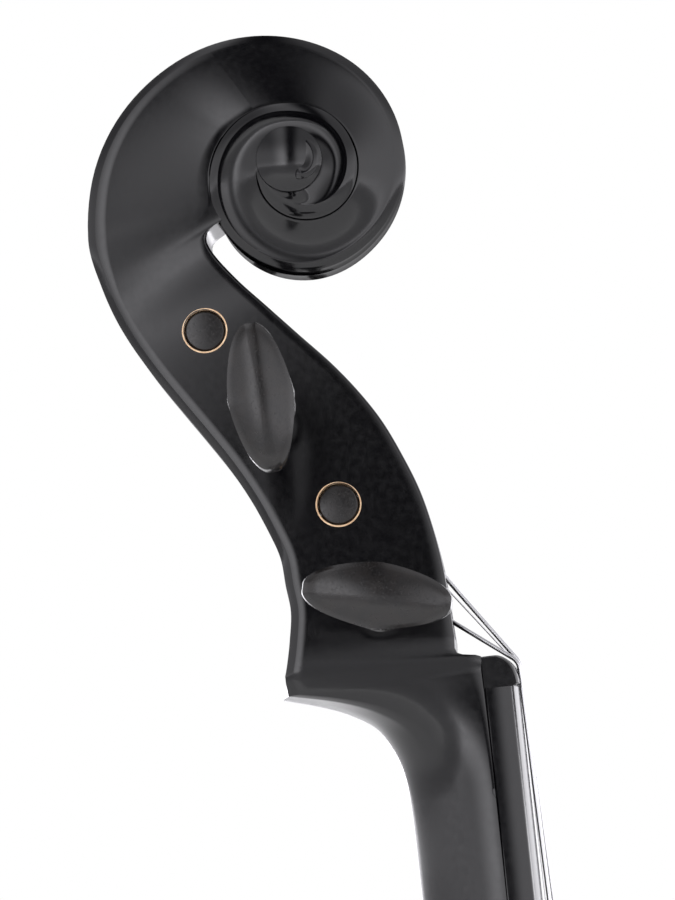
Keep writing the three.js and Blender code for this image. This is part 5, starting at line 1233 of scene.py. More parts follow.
def build_body():
    body = make("body_fine", core_parts())
    arms = [arm_parts(TREBLE_ARM, UPPER_HALF - ARM_WIDTH / 2), arm_parts(BASS_ARM, ARM_WIDTH / 2 - LOWER_HALF)]
    carve(body, arms, operation="UNION")
    beyond = BACK_Y + OVERRUN
    inner, outer = CORE_HALF - SIDE_WALL - OVERRUN, CORE_HALF + OVERRUN
    cuts = [
        box_parts(
            (-SADDLE_HALF - FIT, FRONT_Y - OVERRUN, TAIL_Z - OVERRUN),
            (SADDLE_HALF + FIT, FRONT_Y + SADDLE_DEPTH + FIT, TAIL_Z + SADDLE_THICK + FIT),
        ),
        slab(CAVITY_CENTRE, CAVITY_HALF, COVER_CORNER, FRONT_Y + FRONT_WALL, beyond),
        slab(CAVITY_CENTRE, grown(COVER_HALF, FIT), COVER_CORNER, BACK_Y - COVER_THICK - SEAT, beyond),
        slab(BOX_CENTRE, grown(BOX_HALF, SEAT), BOX_WALL, BACK_Y - BOX_DEPTH - SEAT, beyond),
        slab(BOX_CENTRE, grown(BOX_HALF, BOX_FLANGE + FIT), BOX_FLANGE, BACK_Y - BOX_FLANGE - SEAT, beyond),
    ]
    cuts += [rod(inner, outer, CONTROL_BORE, 40, "x", (0, CONTROL_Y, z)) for z in CONTROL_Z]
    cuts.append(rod(CORE_HALF - JACK_LONG - SEAT, outer, JACK_RADIUS + SEAT, 48, "x", (0, CONTROL_Y, JACK_Z)))
    cuts.append(rod(TAIL_Z - OVERRUN, TAIL_Z + BUTTON_PIN + SEAT, BUTTON_BORE, 40, "z", (0, BUTTON_Y, 0)))
    cuts += [rod(BACK_Y - SCREW_BORE_LONG, BACK_Y, SCREW_BORE, 20, "y", (x, 0, z)) for x, z in COVER_SCREWS]
    carve(body, cuts, angle=30.0)
    dress(body, "violin", "lacquer", "body")


build_body()

# Fittings


def inset_outline(outline, inset):
    """A closed outline moved inwards, point by point."""
    points = [Vector(p) for p in outline]
    ahead, behind = points[1:] + points[:1], points[-1:] + points[:-1]
    if sum(a.x * b.y - b.x * a.y for a, b in zip(points, ahead)) < 0:
        inset = -inset
    out = []
    for before, here, after in zip(behind, points, ahead):
        first, second = (here - before).normalized(), (after - here).normalized()
        normal = Vector((-first.y - second.y, first.x + second.x)).normalized()
        reach = max(abs(normal.dot(Vector((-first.y, first.x)))), 0.5)
        out.append(here + normal * (inset / reach))
    return out


def plate(outline, near, far, soft, put):
    """A slab of an outline between two depths, its rims rounded off. put places (u, v, depth)."""
    rims = [(near + soft * (1 - math.cos(t)), soft * (1 - math.sin(t))) for t in quarter(3)]
    rims += [(near + far - depth, inset) for depth, inset in reversed(rims)]
    return loft([[put(p.x, p.y, depth) for p in inset_outline(outline, inset)] for depth, inset in rims])


def pad(centre, half, corner, near, far, soft=0.3):
    """A plate with rounded corners and rims in the plane of the back."""
    return plate(rounded_rectangle(centre, half, corner), near, far, soft, on_back)


THREAD_PITCH, THREAD_DEPTH = 0.5, 0.12


def thread(start, end, radius):
    """The profile of a threaded rod, as close rings."""
    count = round(abs(end - start) / THREAD_PITCH)
    root = radius - THREAD_DEPTH
    out = [(start, root)]
    for k in range(1, count + 1):
        out += [(mix(start, end, (k - 0.5) / count), radius), (mix(start, end, k / count), root)]
    return out


# Bridge and pickup

BRIDGE_OUTLINE = [
    (1, 0.05), (0.84, 0.115), (0.6, 0.18), (0.48, 0.28), (0.46, 0.38), (0.62, 0.425), (0.8, 0.47), (0.86, 0.58),
    (0.8, 0.68), (0.86, 0.79), (0.86, 0.885),
]
BRIDGE_HEART = [(0, 0.5), (0.15, 0.61), (0.19, 0.69), (0.12, 0.74), (0, 0.7)]
BRIDGE_ARCH = [(0.4, 0), (0.33, 0.1), (0.18, 0.165), (0, 0.185)]
BRIDGE_EYE = [(0.42, 0.52), (0.6, 0.53), (0.66, 0.6), (0.52, 0.635), (0.4, 0.585)]
BRIDGE_HALF, BRIDGE_FOOT, BRIDGE_TOP = 20.5, 4.6, 1.5
PICKUP = (23.5, 4.5, 2.6)
BRIDGE_Y = FRONT_Y - 2 * SEAT - PICKUP[2]


def curve(points, count, closed=False):
    """A smooth line through points of a plane."""
    line = [Vector((x, y, 0)) for x, y in points]
    if closed:
        around = smooth_line(line[-2:] + line + line[:2], count * (len(points) + 3))
        return [(p.x, p.y) for p in around[2 * count:(len(points) + 2) * count]]
    return [(p.x, p.y) for p in smooth_line(line, count * (len(points) - 1))]


def build_bridge():
    height = BRIDGE_Y - CROWN_Y

    def sized(points):
        return [(x * BRIDGE_HALF, y * height) for x, y in points]

    def put(u, v, depth):
        return Vector((u, BRIDGE_Y - v, BRIDGE_Z + depth))

    side = sized(curve(BRIDGE_OUTLINE, 5))
    shoulder = side.pop()[0]
    across = [shoulder * (1 - k / 15) for k in range(31)]
    crown = [(x, height - sagitta(x, BOARD_RADIUS)) for x in across]
    arch = sized(curve(BRIDGE_ARCH, 4))
    right = [(BRIDGE_HALF, 0.0)] + side
    outline = right + crown + mirrored(right) + [(-x, y) for x, y in arch] + arch[-2::-1]
    half = BRIDGE_FOOT / 2
    bridge = make("bridge_fine", plate(outline, -half, half, 0.25, put))
    heart, eye = curve(BRIDGE_HEART, 4), curve(BRIDGE_EYE, 4, closed=True)
    holes = []
    for hole in (heart + mirrored(heart[1:-1]), eye, [(-x, y) for x, y in eye]):
        holes.append(loft([[put(u, v, depth) for u, v in sized(hole)] for depth in (-half - 1, half + 1)]))
    carve(bridge, holes)
    # The bridge thins towards its crown
    for v in bridge.data.vertices:
        up = (BRIDGE_Y - v.co.y / MM) / height
        v.co.z = (BRIDGE_Z + (v.co.z / MM - BRIDGE_Z) * mix(1, BRIDGE_TOP / BRIDGE_FOOT, up)) * MM
    grooves = []
    for i, name in enumerate(STRINGS):
        path = [bridge_point(i) + Vector((0, 0, depth)) for depth in (-3, 3)]
        grooves.append(tube(path, STRING_RADIUS[name] + GROOVE_GAP, 16))
    carve(bridge, grooves)
    dress(bridge, "violin", "maple", "bridge")
    bar = pad((0, BRIDGE_Z), PICKUP[:2], 2.7, FRONT_Y - 0.05 - PICKUP[2] - SEAT, FRONT_Y, 0.5)
    piece("pickup", bar, "violin", "plastic")


build_bridge()

# Tailpiece with its tuners, in a frame of its own

TAIL_STATIONS = [
    [0, 0.97, 0], [0.02, 1, 0], [0.1, 1, 0], [0.34, 0.965, 0], [0.5, 0.85, 0.45], [0.66, 0.71, 0.8],
    [0.82, 0.6, 0.95], [0.95, 0.53, 1], [1, 0.44, 1],
]
TAIL_HALF, TAIL_TOP, TAIL_THICK, TAIL_THIN, TAIL_ARCH, TAIL_PLATE = 21.5, 2.4, 10.0, 4.6, 1.4, 2.6
AXLE_RADIUS, AXLE_Z, LEVER_WIDTH, LEVER_ARM, SCREW_RADIUS, SCREW_TRAVEL = 1.1, -5.6, 4.6, 25.4, 1.15, 3.0
LEVER_THIN, POCKET_END, HEAD_RADIUS, HEAD_HIGH, HEAD_SOCKET = 1.1, -36.0, 4.1, 6.0, 3.6
ARM_TOP = TAIL_TOP + TAIL_PLATE + SEAT + RUN + SCREW_TRAVEL
AXLE_Y = ARM_TOP + AXLE_RADIUS
HUB = 2.2 * AXLE_RADIUS
ARM_END = AXLE_Z - LEVER_ARM
SCREW_Z = ARM_END + 0.5 * LEVER_WIDTH
HEAD_BASE = TAIL_TOP - 2 * RUN
GUT_HALF = 5.75
GUT_HOLE_Y = TAIL_TOP + 0.5 * TAIL_THIN


def tuner_x(i):
    return string_place(i) * TUNER_SPACING


def tail_section(down):
    """The tailpiece's section at a share of its length: an arched face with rounded edges."""
    _, wide, thin = hermite(TAIL_STATIONS, [s[0] for s in TAIL_STATIONS], down)
    end = max(1 - min(down, 1 - down) * TAIL_LENGTH / 0.8, 0.0)
    shy = 0.6 * (1 - math.sqrt(1 - end * end))
    half, soft, edge = wide * TAIL_HALF - shy, 1.1, 0.7
    low = TAIL_TOP + mix(TAIL_THICK, TAIL_THIN, thin) - shy
    top = [(s * (half - soft), TAIL_TOP + shy + TAIL_ARCH * wide * s * s) for s in (n / 12 - 1 for n in range(25))]
    right = [(half - soft + soft * math.sin(a), top[-1][1] + soft * (1 - math.cos(a))) for a in (0.3, 0.7, 1.1, 1.57)]
    right += [(half - edge * (1 - math.cos(a)), low - edge * (1 - math.sin(a))) for a in (0, 0.5, 1.0, 1.57)]
    return [Vector((x, y, -down * TAIL_LENGTH)) for x, y in top + right + mirrored(right)]


def build_tailpiece():
    shell = make("tailpiece_fine", loft([tail_section(k / 60) for k in range(61)]), TAIL_FRAME, angle=40.0)
    under = TAIL_TOP + TAIL_PLATE
    near, far = AXLE_Z + HUB + RUN, POCKET_END
    wide = tuner_x(3) + LEVER_WIDTH / 2 + 2 * RUN
    pocket = rounded_rectangle((0, (near + far) / 2), (wide, (near - far) / 2), 1.5)
    cuts = [
        plate(pocket, under, TAIL_TOP + TAIL_THICK + OVERRUN, 0.01, on_back),
        rod(-25, 25, AXLE_RADIUS + FIT, 24, "x", (0, AXLE_Y, AXLE_Z)),
    ]
    swing = SCREW_TRAVEL / LEVER_ARM * (AXLE_Y - TAIL_TOP)
    low, high = AXLE_Z - LEVER_THIN - 2 * RUN, AXLE_Z + LEVER_THIN + swing + 2 * RUN
    for i in range(len(STRINGS)):
        half = (LEVER_WIDTH / 2 + RUN, (high - low) / 2)
        slot = rounded_rectangle((tuner_x(i), (low + high) / 2), half, 0.6)
        cuts.append(plate(slot, -OVERRUN, under + OVERRUN, 0.01, on_back))
        cuts.append(rod(-OVERRUN, under + OVERRUN, SCREW_RADIUS + RUN, 24, "y", (tuner_x(i), 0, SCREW_Z)))
    for x in (-GUT_HALF, GUT_HALF):
        end = -TAIL_LENGTH
        cuts.append(rod(end - OVERRUN, end + 11, GUT_RADIUS + SEAT, 20, "z", (x, GUT_HOLE_Y, 0)))
    carve(shell, cuts, TAIL_FRAME, angle=40.0)
    dress(shell, "violin", "composite", "tailpiece")
    reach = TAIL_HALF - 3 * SEAT
    axle = soft_profile(closed([(-reach, AXLE_RADIUS), (reach, AXLE_RADIUS)]), 0.25)
    piece("tuner_axle", turned(axle, 24, "x", (0, AXLE_Y, AXLE_Z)), "violin", "nickel", TAIL_FRAME)


def build_tuner(i, name):
    """One lever with its hook, the threaded screw and its knurled head."""
    x, half, bend, tip, low = tuner_x(i), LEVER_THIN, 0.7 * HUB, -1.2, ARM_TOP + 2 * AXLE_RADIUS
    corners = [
        (AXLE_Z + half, tip), (AXLE_Z - half, tip), (AXLE_Z - half, ARM_TOP - bend), (AXLE_Z - half - bend, ARM_TOP),
        (ARM_END, ARM_TOP), (ARM_END, low), (AXLE_Z - HUB, low), (AXLE_Z - 0.5 * HUB, AXLE_Y + HUB),
        (AXLE_Z + 0.5 * HUB, AXLE_Y + HUB), (AXLE_Z + HUB, AXLE_Y + 0.4 * HUB),
        (AXLE_Z + HUB, AXLE_Y - 0.4 * HUB), (AXLE_Z + half, AXLE_Y - HUB),
    ]
    line = [Vector((z, y, 0)) for z, y in corners]
    middle = (line[0] + line[1]) / 2
    outline = [(p.x, p.y) for p in rounded_path([middle] + line[1:] + [line[0], middle], 0.9, 4)[:-1]]
    body = plate(outline, -LEVER_WIDTH / 2, LEVER_WIDTH / 2, 0.3, lambda u, v, w: Vector((x + w, v, u)))
    lever = make(f"tuner_lever_{name}_fine", body, TAIL_FRAME)
    fork = 2.2 * STRING_RADIUS["g"]
    slot = box_parts((x - fork, -4, AXLE_Z - 3), (x + fork, fork, AXLE_Z + 3))
    carve(lever, [slot, rod(x - 4, x + 4, AXLE_RADIUS + RUN, 28, "x", (0, AXLE_Y, AXLE_Z))], TAIL_FRAME)
    dress(lever, f"{name}_lever", "nickel", f"tuner_lever_{name}")
    at = (x, 0, SCREW_Z)
    screw = closed(thread(HEAD_BASE - HEAD_SOCKET, ARM_TOP - SEAT, SCREW_RADIUS))
    piece(f"tuner_screw_{name}", turned(screw, 24, "y", at), f"{name}_screw", "nickel", TAIL_FRAME, 25.0)
    radius, top, socket = HEAD_RADIUS, HEAD_BASE - HEAD_HIGH, HEAD_BASE - HEAD_SOCKET - RUN
    profile = closed([
        (top + 0.5, AXIS), (top + 0.35, 0.3 * radius), (top, 0.55 * radius), (top, 0.8 * radius), (top + 0.8, radius),
        (HEAD_BASE - 2.1, radius), (HEAD_BASE - 1.8, 0.6 * radius), (HEAD_BASE, 0.6 * radius),
        (HEAD_BASE, SCREW_RADIUS + RUN), (socket, SCREW_RADIUS + RUN),
    ])[1:]
    points, faces = turned(soft_profile(profile, 0.3, 3), 120, "y", at)
    for p in points:
        flat = Vector((p.x - x, 0, p.z - SCREW_Z))
        if flat.length > 0.93 * radius:
            flat *= 1 - 0.035 * (0.5 - 0.5 * math.cos(30 * math.atan2(flat.z, flat.x)))
        p.x, p.z = x + flat.x, SCREW_Z + flat.z
    piece(f"tuner_head_{name}", (points, faces), f"{name}_head", "nickel", TAIL_FRAME)


build_tailpiece()
for i, name in enumerate(STRINGS):
    build_tuner(i, name)

# Tail end: saddle, end button and the gut loop

CREST_Y = FRONT_Y - SADDLE_RISE
BUTTON_Z = TAIL_Z - 0.05
BUTTON_NECK_Z = TAIL_Z - SEAT - 1.8
BUTTON_HEAD_Z = BUTTON_NECK_Z - 3.6
BUTTON_NECK = 4.4


def build_tail_end():
    soft = 0.3 * SADDLE_THICK
    low, high, deep = TAIL_Z, TAIL_Z + SADDLE_THICK, FRONT_Y + SADDLE_DEPTH
    outline = [
        (CREST_Y + 1.4 * soft, low), (CREST_Y + 0.4 * soft, low + 0.4 * soft), (CREST_Y, low + 1.4 * soft),
        (CREST_Y + 0.5 * soft, high - soft), (CREST_Y + 2 * soft, high),
    ]
    line = [(deep, low), *curve(outline, 4), (deep, high)]
    rings = []
    for k in range(41):
        share = k / 20 - 1
        lower = 1 - 0.45 * rise(abs(share), 0.78, 1.0) - 0.1 * rise(abs(share), 0.97, 1.0)
        section = [(FRONT_Y + (y - FRONT_Y) * (lower if y < FRONT_Y else 1), z) for y, z in line]
        rings.append([Vector((share * SADDLE_HALF, y, z)) for y, z in section])
    piece("saddle", loft(rings), "violin", "ebony")
    neck, head = BUTTON_NECK_Z, BUTTON_HEAD_Z
    profile = closed([
        (TAIL_Z + BUTTON_PIN, 3.2), (BUTTON_Z, 3.8), (BUTTON_Z, 7.0), (neck, 7.0), (neck, BUTTON_NECK),
        (head, BUTTON_NECK), (head - 0.4, 6.8), (head - 2.4, 7.4), (head - 4.8, 6.7), (head - 6.6, 3.4),
        (head - 6.8, AXIS),
    ])[:-1]
    button = turned(soft_profile(profile, 1.0, 5), 64, "z", (0, BUTTON_Y, 0))
    piece("end_button", button, "violin", "ebony", angle=40.0)
    wrap, leg_z, corner = BUTTON_NECK + SEAT + GUT_RADIUS, (neck + head) / 2, 2 * GUT_RADIUS
    # The gut's way over the saddle and down to the button, as (y, z)
    over = [
        (GUT_OVER_Y, TAIL_Z + 0.7 * SADDLE_THICK), (GUT_OVER_Y, TAIL_Z + 0.25 * SADDLE_THICK),
        (GUT_OVER_Y + 0.4 * corner, mix(TAIL_Z, leg_z, 0.35)), (GUT_OVER_Y + 1.3 * corner, mix(TAIL_Z, leg_z, 0.8)),
        (GUT_OVER_Y + 2.6 * corner, leg_z),
    ]

    def leg(x):
        held = [in_row(TAIL_FRAME, (x, GUT_HOLE_Y, z - TAIL_LENGTH)) for z in (8.8, -0.5 * GUT_RADIUS)]
        return held + [Vector((x, y, z)) for y, z in over]

    bend = [Vector((wrap * math.cos(t), BUTTON_Y + wrap * math.sin(t), leg_z)) for t in turns(32)[:17]]
    path = rounded_path(leg(GUT_HALF) + bend + leg(-GUT_HALF)[::-1], 1.6, 4)
    piece("tailgut", tube(path, GUT_RADIUS, 20), "violin", "gut")


build_tail_end()

# Chinrest and its clamp

CUP_X, CUP_Z, CUP_HALF_X, CUP_HALF_Z, CUP_RIM, CUP_DISH = -57.0, TAIL_Z + 45.0, 37.0, 33.0, 13.0, 7.0
LUG_WIDTH, LUG_THICK, CORK = 29.0, 6.0, 2.3
CLAMP_X, CLAMP_Z = (-38.0, -21.0), TAIL_Z - 5.6
BARREL, BARREL_BORE, STUD, CLAMP_PLATE = 3.1, 1.9, 1.45, 2.2
LUG_X, LUG_END = sum(CLAMP_X) / 2, CLAMP_Z - BARREL
REST_Y = FRONT_Y - 2 * SEAT - CORK
BARREL_TOP, BARREL_END = FRONT_Y + 2 * CLAMP_PLATE, BACK_Y - 2 * CLAMP_PLATE
CLAMP_HALF, CORK_CORNER, PLATE_CORNER = 0.46 * LUG_WIDTH, 1.15, 1.1
# How far a cork or a plate reaches into its neighbour, so that no gap shows
TOUCH = 0.02


def clamp_pad(low, high, half, corner, near, far, soft=0.35):
    """A pad between two heights, in line with the clamp."""
    return pad((LUG_X, (low + high) / 2), (half, (high - low) / 2), corner, near, far, soft)


def clamp_plate(name, body, low, high, near, far, studs):
    """A plate of the clamp with its two studs."""
    parts = [clamp_pad(low, high, CLAMP_HALF, PLATE_CORNER, near, far)]
    parts += [turned(closed(thread(*studs, STUD)), 24, "y", (x, 0, CLAMP_Z)) for x in CLAMP_X]
    piece(name, parts, body, "nickel", angle=25.0)


def build_chinrest():
    deep = CUP_DISH / CUP_RIM
    profile = [
        (0.25, 0), (0.72, 0.02), (0.9, 0.3), (0.985, 0.7), (1, 0.92), (0.965, 1), (0.9, 0.93), (0.72, 1 - 0.8 * deep),
        (0.4, 1 - deep), (0.12, 0.98 - deep),
    ]
    rings = []
    for out, up in curve(profile, 5):
        half_x, y, half_z = out * CUP_HALF_X, REST_Y - up * CUP_RIM, out * CUP_HALF_Z
        rings.append([Vector((CUP_X + half_x * math.cos(t), y, CUP_Z + half_z * math.sin(t))) for t in turns(120)])
    cup = make("chinrest_fine", loft(rings), angle=40.0)
    inside = CUP_Z - 0.45 * CUP_HALF_Z
    lug = clamp_pad(LUG_END, inside, LUG_WIDTH / 2, 3.0, REST_Y - LUG_THICK, REST_Y, 1.2)
    carve(cup, [lug], operation="UNION", angle=40.0)
    dress(cup, "violin", "composite", "chinrest")
    low, high = TAIL_Z + 2 * SEAT, CUP_Z - 0.75 * CUP_HALF_Z
    cork = clamp_pad(low, high, CLAMP_HALF, CORK_CORNER, REST_Y - TOUCH, FRONT_Y - TOUCH)
    piece("chinrest_cork", cork, "violin", "cork")
    top, near = REST_Y + SEAT, BACK_Y + 2 * SEAT + 0.6 * CORK
    studs = (top + 1.5, mix(BARREL_TOP, BARREL_END, 0.4))
    clamp_plate("chinrest_bracket", "violin", LUG_END, TAIL_Z - 2 * SEAT, REST_Y - TOUCH, top + CLAMP_PLATE, studs)
    studs = (mix(BARREL_TOP, BARREL_END, 0.55), near + 0.5)
    clamp_plate("clamp_foot", "foot", LUG_END, TAIL_Z + 2 * LUG_THICK, near, near + CLAMP_PLATE, studs)
    low, high = TAIL_Z + 4 * SEAT, TAIL_Z + 2 * LUG_THICK
    cork = clamp_pad(low, high, 0.44 * LUG_WIDTH, CORK_CORNER, BACK_Y + TOUCH, near + TOUCH)
    piece("clamp_foot_cork", cork, "foot", "cork")
    profile = [
        (BARREL_TOP, BARREL_BORE), (BARREL_TOP, BARREL), (BARREL_END, BARREL), (BARREL_END, BARREL_BORE),
        (BARREL_TOP, BARREL_BORE),
    ]
    for i, x in enumerate(CLAMP_X):
        barrel = make(f"clamp_barrel_{i + 1}_fine", sleeve(soft_profile(profile, 0.5), 48, "y", (x, 0, CLAMP_Z)))
        carve(barrel, [rod(-8, 8, 0.4 * BARREL, 28, "x", (x, (BARREL_TOP + BARREL_END) / 2, CLAMP_Z))])
        dress(barrel, f"barrel_{i + 1}", "nickel", f"clamp_barrel_{i + 1}")


build_chinrest()

# Electronics

POT_NUT_X, POT_NUT = CORE_HALF + 0.05, 1.8
KNOB_X = CORE_HALF + SEAT + POT_NUT + RUN
KNOB_RADIUS, KNOB_HIGH = 7.6, 11.0
# The knob's profile as (height, share of the radius, depth of the flutes)
KNOB_STATIONS = [
    (0, 0.01, 0), (0, 0.97, 0), (0.3, 1, 0), (2.1, 1, 0), (2.5, 0.95, 0.6), (3.1, 0.93, 1), (9.8, 0.9, 1),
    (10.5, 0.87, 0.9), (10.9, 0.82, 0.5), (KNOB_HIGH, 0.76, 0.1), (KNOB_HIGH - 0.3, 0.5, 0),
    (KNOB_HIGH - 0.4, 0.01, 0),
]
POT_SHAFT, POT_BORE, POT_COLLAR, POT_CAN, POT_DEEP = 2.4, 2.8, 3.5, 7.4, 8
JACK_BORE, JACK_TUBE, JACK_TUBE_GAP, JACK_FLANGE = 3.35, 4.7, 0.05, 8.4
SCREW_HEAD, SCREW_SINK, SCREW_SLOT = 2.5, 1.25, (1.5, 0.28)


def upright_ring(x, radii, at):
    """A ring round an axis along x, with a radius for each of its points."""
    count = len(radii)
    return [Vector((x, r * math.cos(t), r * math.sin(t))) + Vector(at) for r, t in zip(radii, turns(count))]


def hexagon(start, end, radius, at):
    """A six-sided nut with chamfered corners."""
    flats = [math.cos(math.pi / 6) / math.cos((t % (math.pi / 3)) - math.pi / 6) for t in turns(48)]
    stations = ((start, 0.93), (start + 0.25, 1), (end - 0.25, 1), (end, 0.93))
    return loft([upright_ring(x, [radius * min(flat, share) for flat in flats], at) for x, share in stations])


def build_knob(name, z):
    at = (0, CONTROL_Y, z)
    flutes = [0.06 * (0.5 - 0.5 * math.cos(14 * t)) ** 0.7 for t in turns(168)]
    rings = []
    for x, wide, fluted in KNOB_STATIONS:
        rings.append(upright_ring(KNOB_X + x, [KNOB_RADIUS * wide * (1 - fluted * flute) for flute in flutes], at))
    piece(f"{name}_knob", loft(rings), name, "plastic")
    shaft = closed([(CORE_HALF - 13.3, POT_SHAFT), (KNOB_X + 2, POT_SHAFT)])
    piece(f"{name}_shaft", turned(shaft, 32, "x", at), name, "brass")
    face, top = CORE_HALF - SIDE_WALL - SEAT, POT_NUT_X + POT_NUT
    can = [(face - POT_DEEP, POT_BORE), (face - POT_DEEP, POT_CAN), (face, POT_CAN), (face, POT_COLLAR)]
    can += [(top, POT_COLLAR), (top, POT_BORE)]
    can = soft_profile(can, 0.5) + can[:1]
    piece(f"{name}_pot", [sleeve(can, 48, "x", at), hexagon(POT_NUT_X, top, 5.1, at)], "violin", "nickel")


def build_jack():
    at = (0, CONTROL_Y, JACK_Z)
    end, back = CORE_HALF + SEAT + 2.6 + 1.6, CORE_HALF - JACK_LONG
    profile = closed([
        (back + 2, AXIS), (back + 2, JACK_BORE), (end, JACK_BORE), (end, JACK_TUBE), (CORE_HALF, JACK_TUBE),
        (CORE_HALF, JACK_RADIUS), (back + 1.3, JACK_RADIUS), (back, 5.3),
    ])[1:]
    piece("output_jack", turned(soft_profile(profile, 0.3), 48, "x", at), "violin", "nickel")
    start, bore = CORE_HALF + 0.03, JACK_TUBE + JACK_TUBE_GAP
    flange = [(start, bore), (start, JACK_FLANGE), (start + 1.3, JACK_FLANGE), (start + 1.9, JACK_FLANGE - 0.7)]
    flange += [(start + 1.9, bore), (start, bore)]
    ring = make("jack_nut_fine", sleeve(soft_profile(flange, 0.3), 64, "x", at))
    nut = make("nut", hexagon(start + 1.2, end - SEAT, 7.05, at))
    carve(nut, [rod(start - 2, end + 2, bore, 48, "x", at)])
    join(ring, nut)
    dress(ring, "violin", "nickel", "jack_nut")


def build_cover():
    shape = pad(CAVITY_CENTRE, COVER_HALF, COVER_CORNER, BACK_Y - COVER_THICK, BACK_Y, 0.4)
    cover = make("electronics_cover_fine", shape)
    holes = []
    for x, z in COVER_SCREWS:
        holes.append(rod(BACK_Y - 1.3, BACK_Y + 1, 2.6, 40, "y", (x, 0, z)))
        holes.append(rod(BACK_Y - 4, BACK_Y, 1.3, 24, "y", (x, 0, z)))
    carve(cover, holes)
    dress(cover, "violin", "plastic", "electronics_cover")
    under = BACK_Y - SCREW_SINK
    profile = [(under - 9, AXIS), (under - 7, 0.9)] + thread(under - 7, under, 1.2)[1:]
    profile += [(under, SCREW_HEAD), (under + 0.5, SCREW_HEAD), (BACK_Y - 0.25, SCREW_HEAD - 0.4)]
    profile += [(BACK_Y, 1.2), (BACK_Y + 0.05, AXIS)]
    long, wide = SCREW_SLOT
    points, faces = box_parts((-long, BACK_Y - 0.7, -wide), (long, BACK_Y + 1, wide))
    for i, (x, z) in enumerate(COVER_SCREWS):
        screw = make(f"cover_screw_{i + 1}_fine", turned(profile, 36, "y", (x, 0, z)))
        slots = []
        for across in (0, math.pi / 2):
            turn = Matrix.Rotation(across + 0.4 + i, 3, "Y")
            slots.append(([turn @ p + Vector((x, 0, z)) for p in points], faces))
        carve(screw, slots)
        dress(screw, "violin", "nickel", f"cover_screw_{i + 1}")


build_knob("volume", CONTROL_Z[0])
build_knob("tone", CONTROL_Z[1])
build_jack()
build_cover()

# Plain nodes that are left to show have their edges softened

for name, width in {"battery_box": 0.3, "battery_door": 0.3, "battery": 0.5, "preamp_board": 0.15}.items():
    rounding = frame["nodes"][name].modifiers.new("rounding", "BEVEL")
    rounding.width = width * MM
    rounding.segments = 3
    rounding.limit_method = "ANGLE"
    rounding.angle_limit = math.radians(35)
    rounding.use_clamp_overlap = True

# Camera: the bass side, from a little in front and below

FOCAL = 5567.0
FRAME_W, FRAME_H = 675.0, 900.0
DEPTH = 950.0
TILT = math.radians(2.06)
VANISH = (570.0 - FRAME_W / 2, 950.0 - FRAME_H / 2)
REFERENCE = (508.7 - FRAME_W / 2, 686.0 - FRAME_H / 2)
REFERENCE_POINT = NECK @ Vector((-12.0, -4.2, 0.0))


def build_camera():
    right = Vector((0, -math.cos(TILT), -math.sin(TILT)))
    up = Vector((0, -math.sin(TILT), math.cos(TILT)))
    toward = Vector((VANISH[0], -VANISH[1], -FOCAL)).normalized()
    basis = Matrix((right, up, right.cross(up))).transposed()
    swing = toward.rotation_difference(Vector((0, 0, -1))).to_matrix()
    basis = basis @ swing
    ray = basis @ Vector((REFERENCE[0], -REFERENCE[1], -FOCAL))
    place = REFERENCE_POINT - ray * (DEPTH / FOCAL)
    data = bpy.data.cameras.new("camera")
    data.lens = FOCAL / FRAME_H * data.sensor_width
    data.clip_start, data.clip_end = 0.05, 100
    camera = bpy.data.objects.new("camera", data)
    camera.matrix_world = Matrix.Translation(place * MM) @ basis.to_4x4()
    bpy.context.scene.collection.objects.link(camera)
    bpy.context.scene.camera = camera


build_camera()

# Floor, light and surroundings


def build_stage():
    lowest, half = cad_box[0].z / MM, 12.0 / MM
    points = [(x * half, y * half, lowest) for x, y in ((-1, -1), (1, -1), (1, 1), (-1, 1))]
    floor = make("floor", (points, [(0, 1, 2, 3)]))
    pale = material("floor_paint", (0.86, 0.86, 0.86), 0.55)
    mottle = noise(pale, position(pale), 3.0, 2.0)
    drive(pale, ramp(pale, mottle, [(0.3, (0.84, 0.84, 0.84)), (0.7, (0.88, 0.88, 0.88))]), "Base Color")
    floor.data.materials.append(pale)


build_stage()


def area(name, place, target, width, height, power):
    """A soft lamp that shows neither to the camera nor in the lacquer."""
    data = bpy.data.lights.new(name, "AREA")
    data.shape = "RECTANGLE"
    data.size, data.size_y = width, height
    data.energy = power
    lamp = bpy.data.objects.new(name, data)
    lamp.location = place
    lamp.rotation_euler = (Vector(target) - Vector(place)).to_track_quat("-Z", "Y").to_euler()
    lamp.visible_camera = False
    lamp.visible_glossy = False
    bpy.context.scene.collection.objects.link(lamp)


head_centre = (0, 0.03, 0.06)
area("key", (-0.9, 1.5, 1.1), head_centre, 1.8, 1.8, 12)
area("far", (1.8, -0.6, 0.9), head_centre, 1.8, 1.8, 20)
area("low", (-1.9, -0.1, -0.22), (0, 0, -0.2), 2.6, 0.62, 12)
area("top", (0.3, 0, 3.0), (0, 0, 0), 2.0, 2.0, 40)

# A tent that only the gloss shows: bright behind the instrument's back, before it and below, and dim
# overhead, with a dark opening for the camera. The camera itself sees plain white.

bpy.context.scene.view_settings.view_transform = "Standard"
world = bpy.data.worlds.new("studio")
bpy.context.scene.world = world
world.use_nodes = True
tree = world.node_tree
toward = tree.nodes.new("ShaderNodeTexCoord")


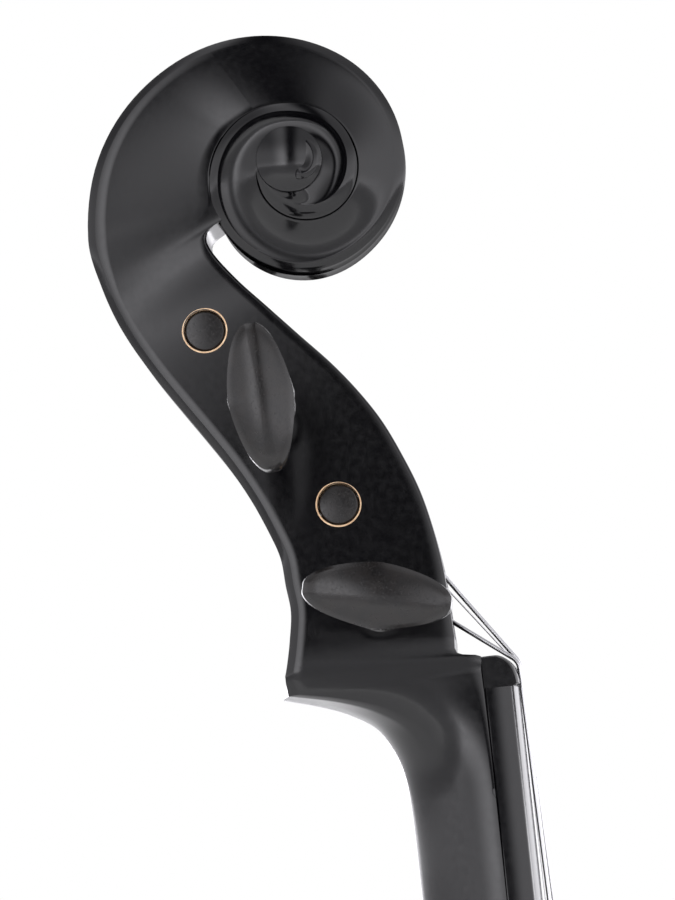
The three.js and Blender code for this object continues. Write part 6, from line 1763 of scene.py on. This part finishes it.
def sky(kind, first, second):
    """A calculation with two numbers or outputs in the world's nodes."""
    made = tree.nodes.new("ShaderNodeMath")
    made.operation = kind
    for socket, value in zip(made.inputs, (first, second)):
        if isinstance(value, (int, float)):
            socket.default_value = value
        else:
            tree.links.new(value, socket)
    return made.outputs[0]


def lobe(direction, low, high, size):
    """A share of the tent's brightness, from nothing to size as a direction comes round to the one given."""
    dot = tree.nodes.new("ShaderNodeVectorMath")
    dot.operation = "DOT_PRODUCT"
    dot.inputs[1].default_value = Vector(direction).normalized()
    tree.links.new(toward.outputs["Generated"], dot.inputs[0])
    spread = tree.nodes.new("ShaderNodeMapRange")
    spread.interpolation_type = "SMOOTHSTEP"
    for socket, value in zip(("From Min", "From Max", "To Min", "To Max"), (low, high, 0.0, size)):
        spread.inputs[socket].default_value = value
    tree.links.new(dot.outputs["Value"], spread.inputs["Value"])
    return spread.outputs["Result"]


BEHIND, BEFORE, BELOW, ABOVE, TREBLE_SIDE = (0, 1, 0), (0, -1, 0), (0, 0, -1), (0, 0, 1), (1, 0, 0)
bright = sky("SUBTRACT", lobe(BEHIND, 0.03, 0.2, 3.3), lobe(BEHIND, 0.2, 0.5, 2.0))
bright = sky("ADD", bright, lobe(BEFORE, 0.04, 0.25, 1.9))
bright = sky("ADD", bright, lobe(BELOW, -0.1, 0.2, 2.6))
bright = sky("MULTIPLY", bright, sky("SUBTRACT", 1.0, lobe(ABOVE, 0.2, 0.6, 0.6)))
bright = sky("ADD", bright, 0.04)
bright = sky("ADD", bright, lobe(TREBLE_SIDE, 0.3, 0.9, 0.5))
background = tree.nodes["Background"]
background.inputs["Color"].default_value = (0.97, 0.96, 1.0, 1)
tree.links.new(bright, background.inputs["Strength"])
white = tree.nodes.new("ShaderNodeBackground")
white.inputs["Color"].default_value = (1, 1, 1, 1)
white.inputs["Strength"].default_value = 1.0
path = tree.nodes.new("ShaderNodeLightPath")
blend = tree.nodes.new("ShaderNodeMixShader")
tree.links.new(path.outputs["Is Camera Ray"], blend.inputs["Fac"])
tree.links.new(background.outputs[0], blend.inputs[1])
tree.links.new(white.outputs[0], blend.inputs[2])
tree.links.new(blend.outputs[0], tree.nodes["World Output"].inputs["Surface"])
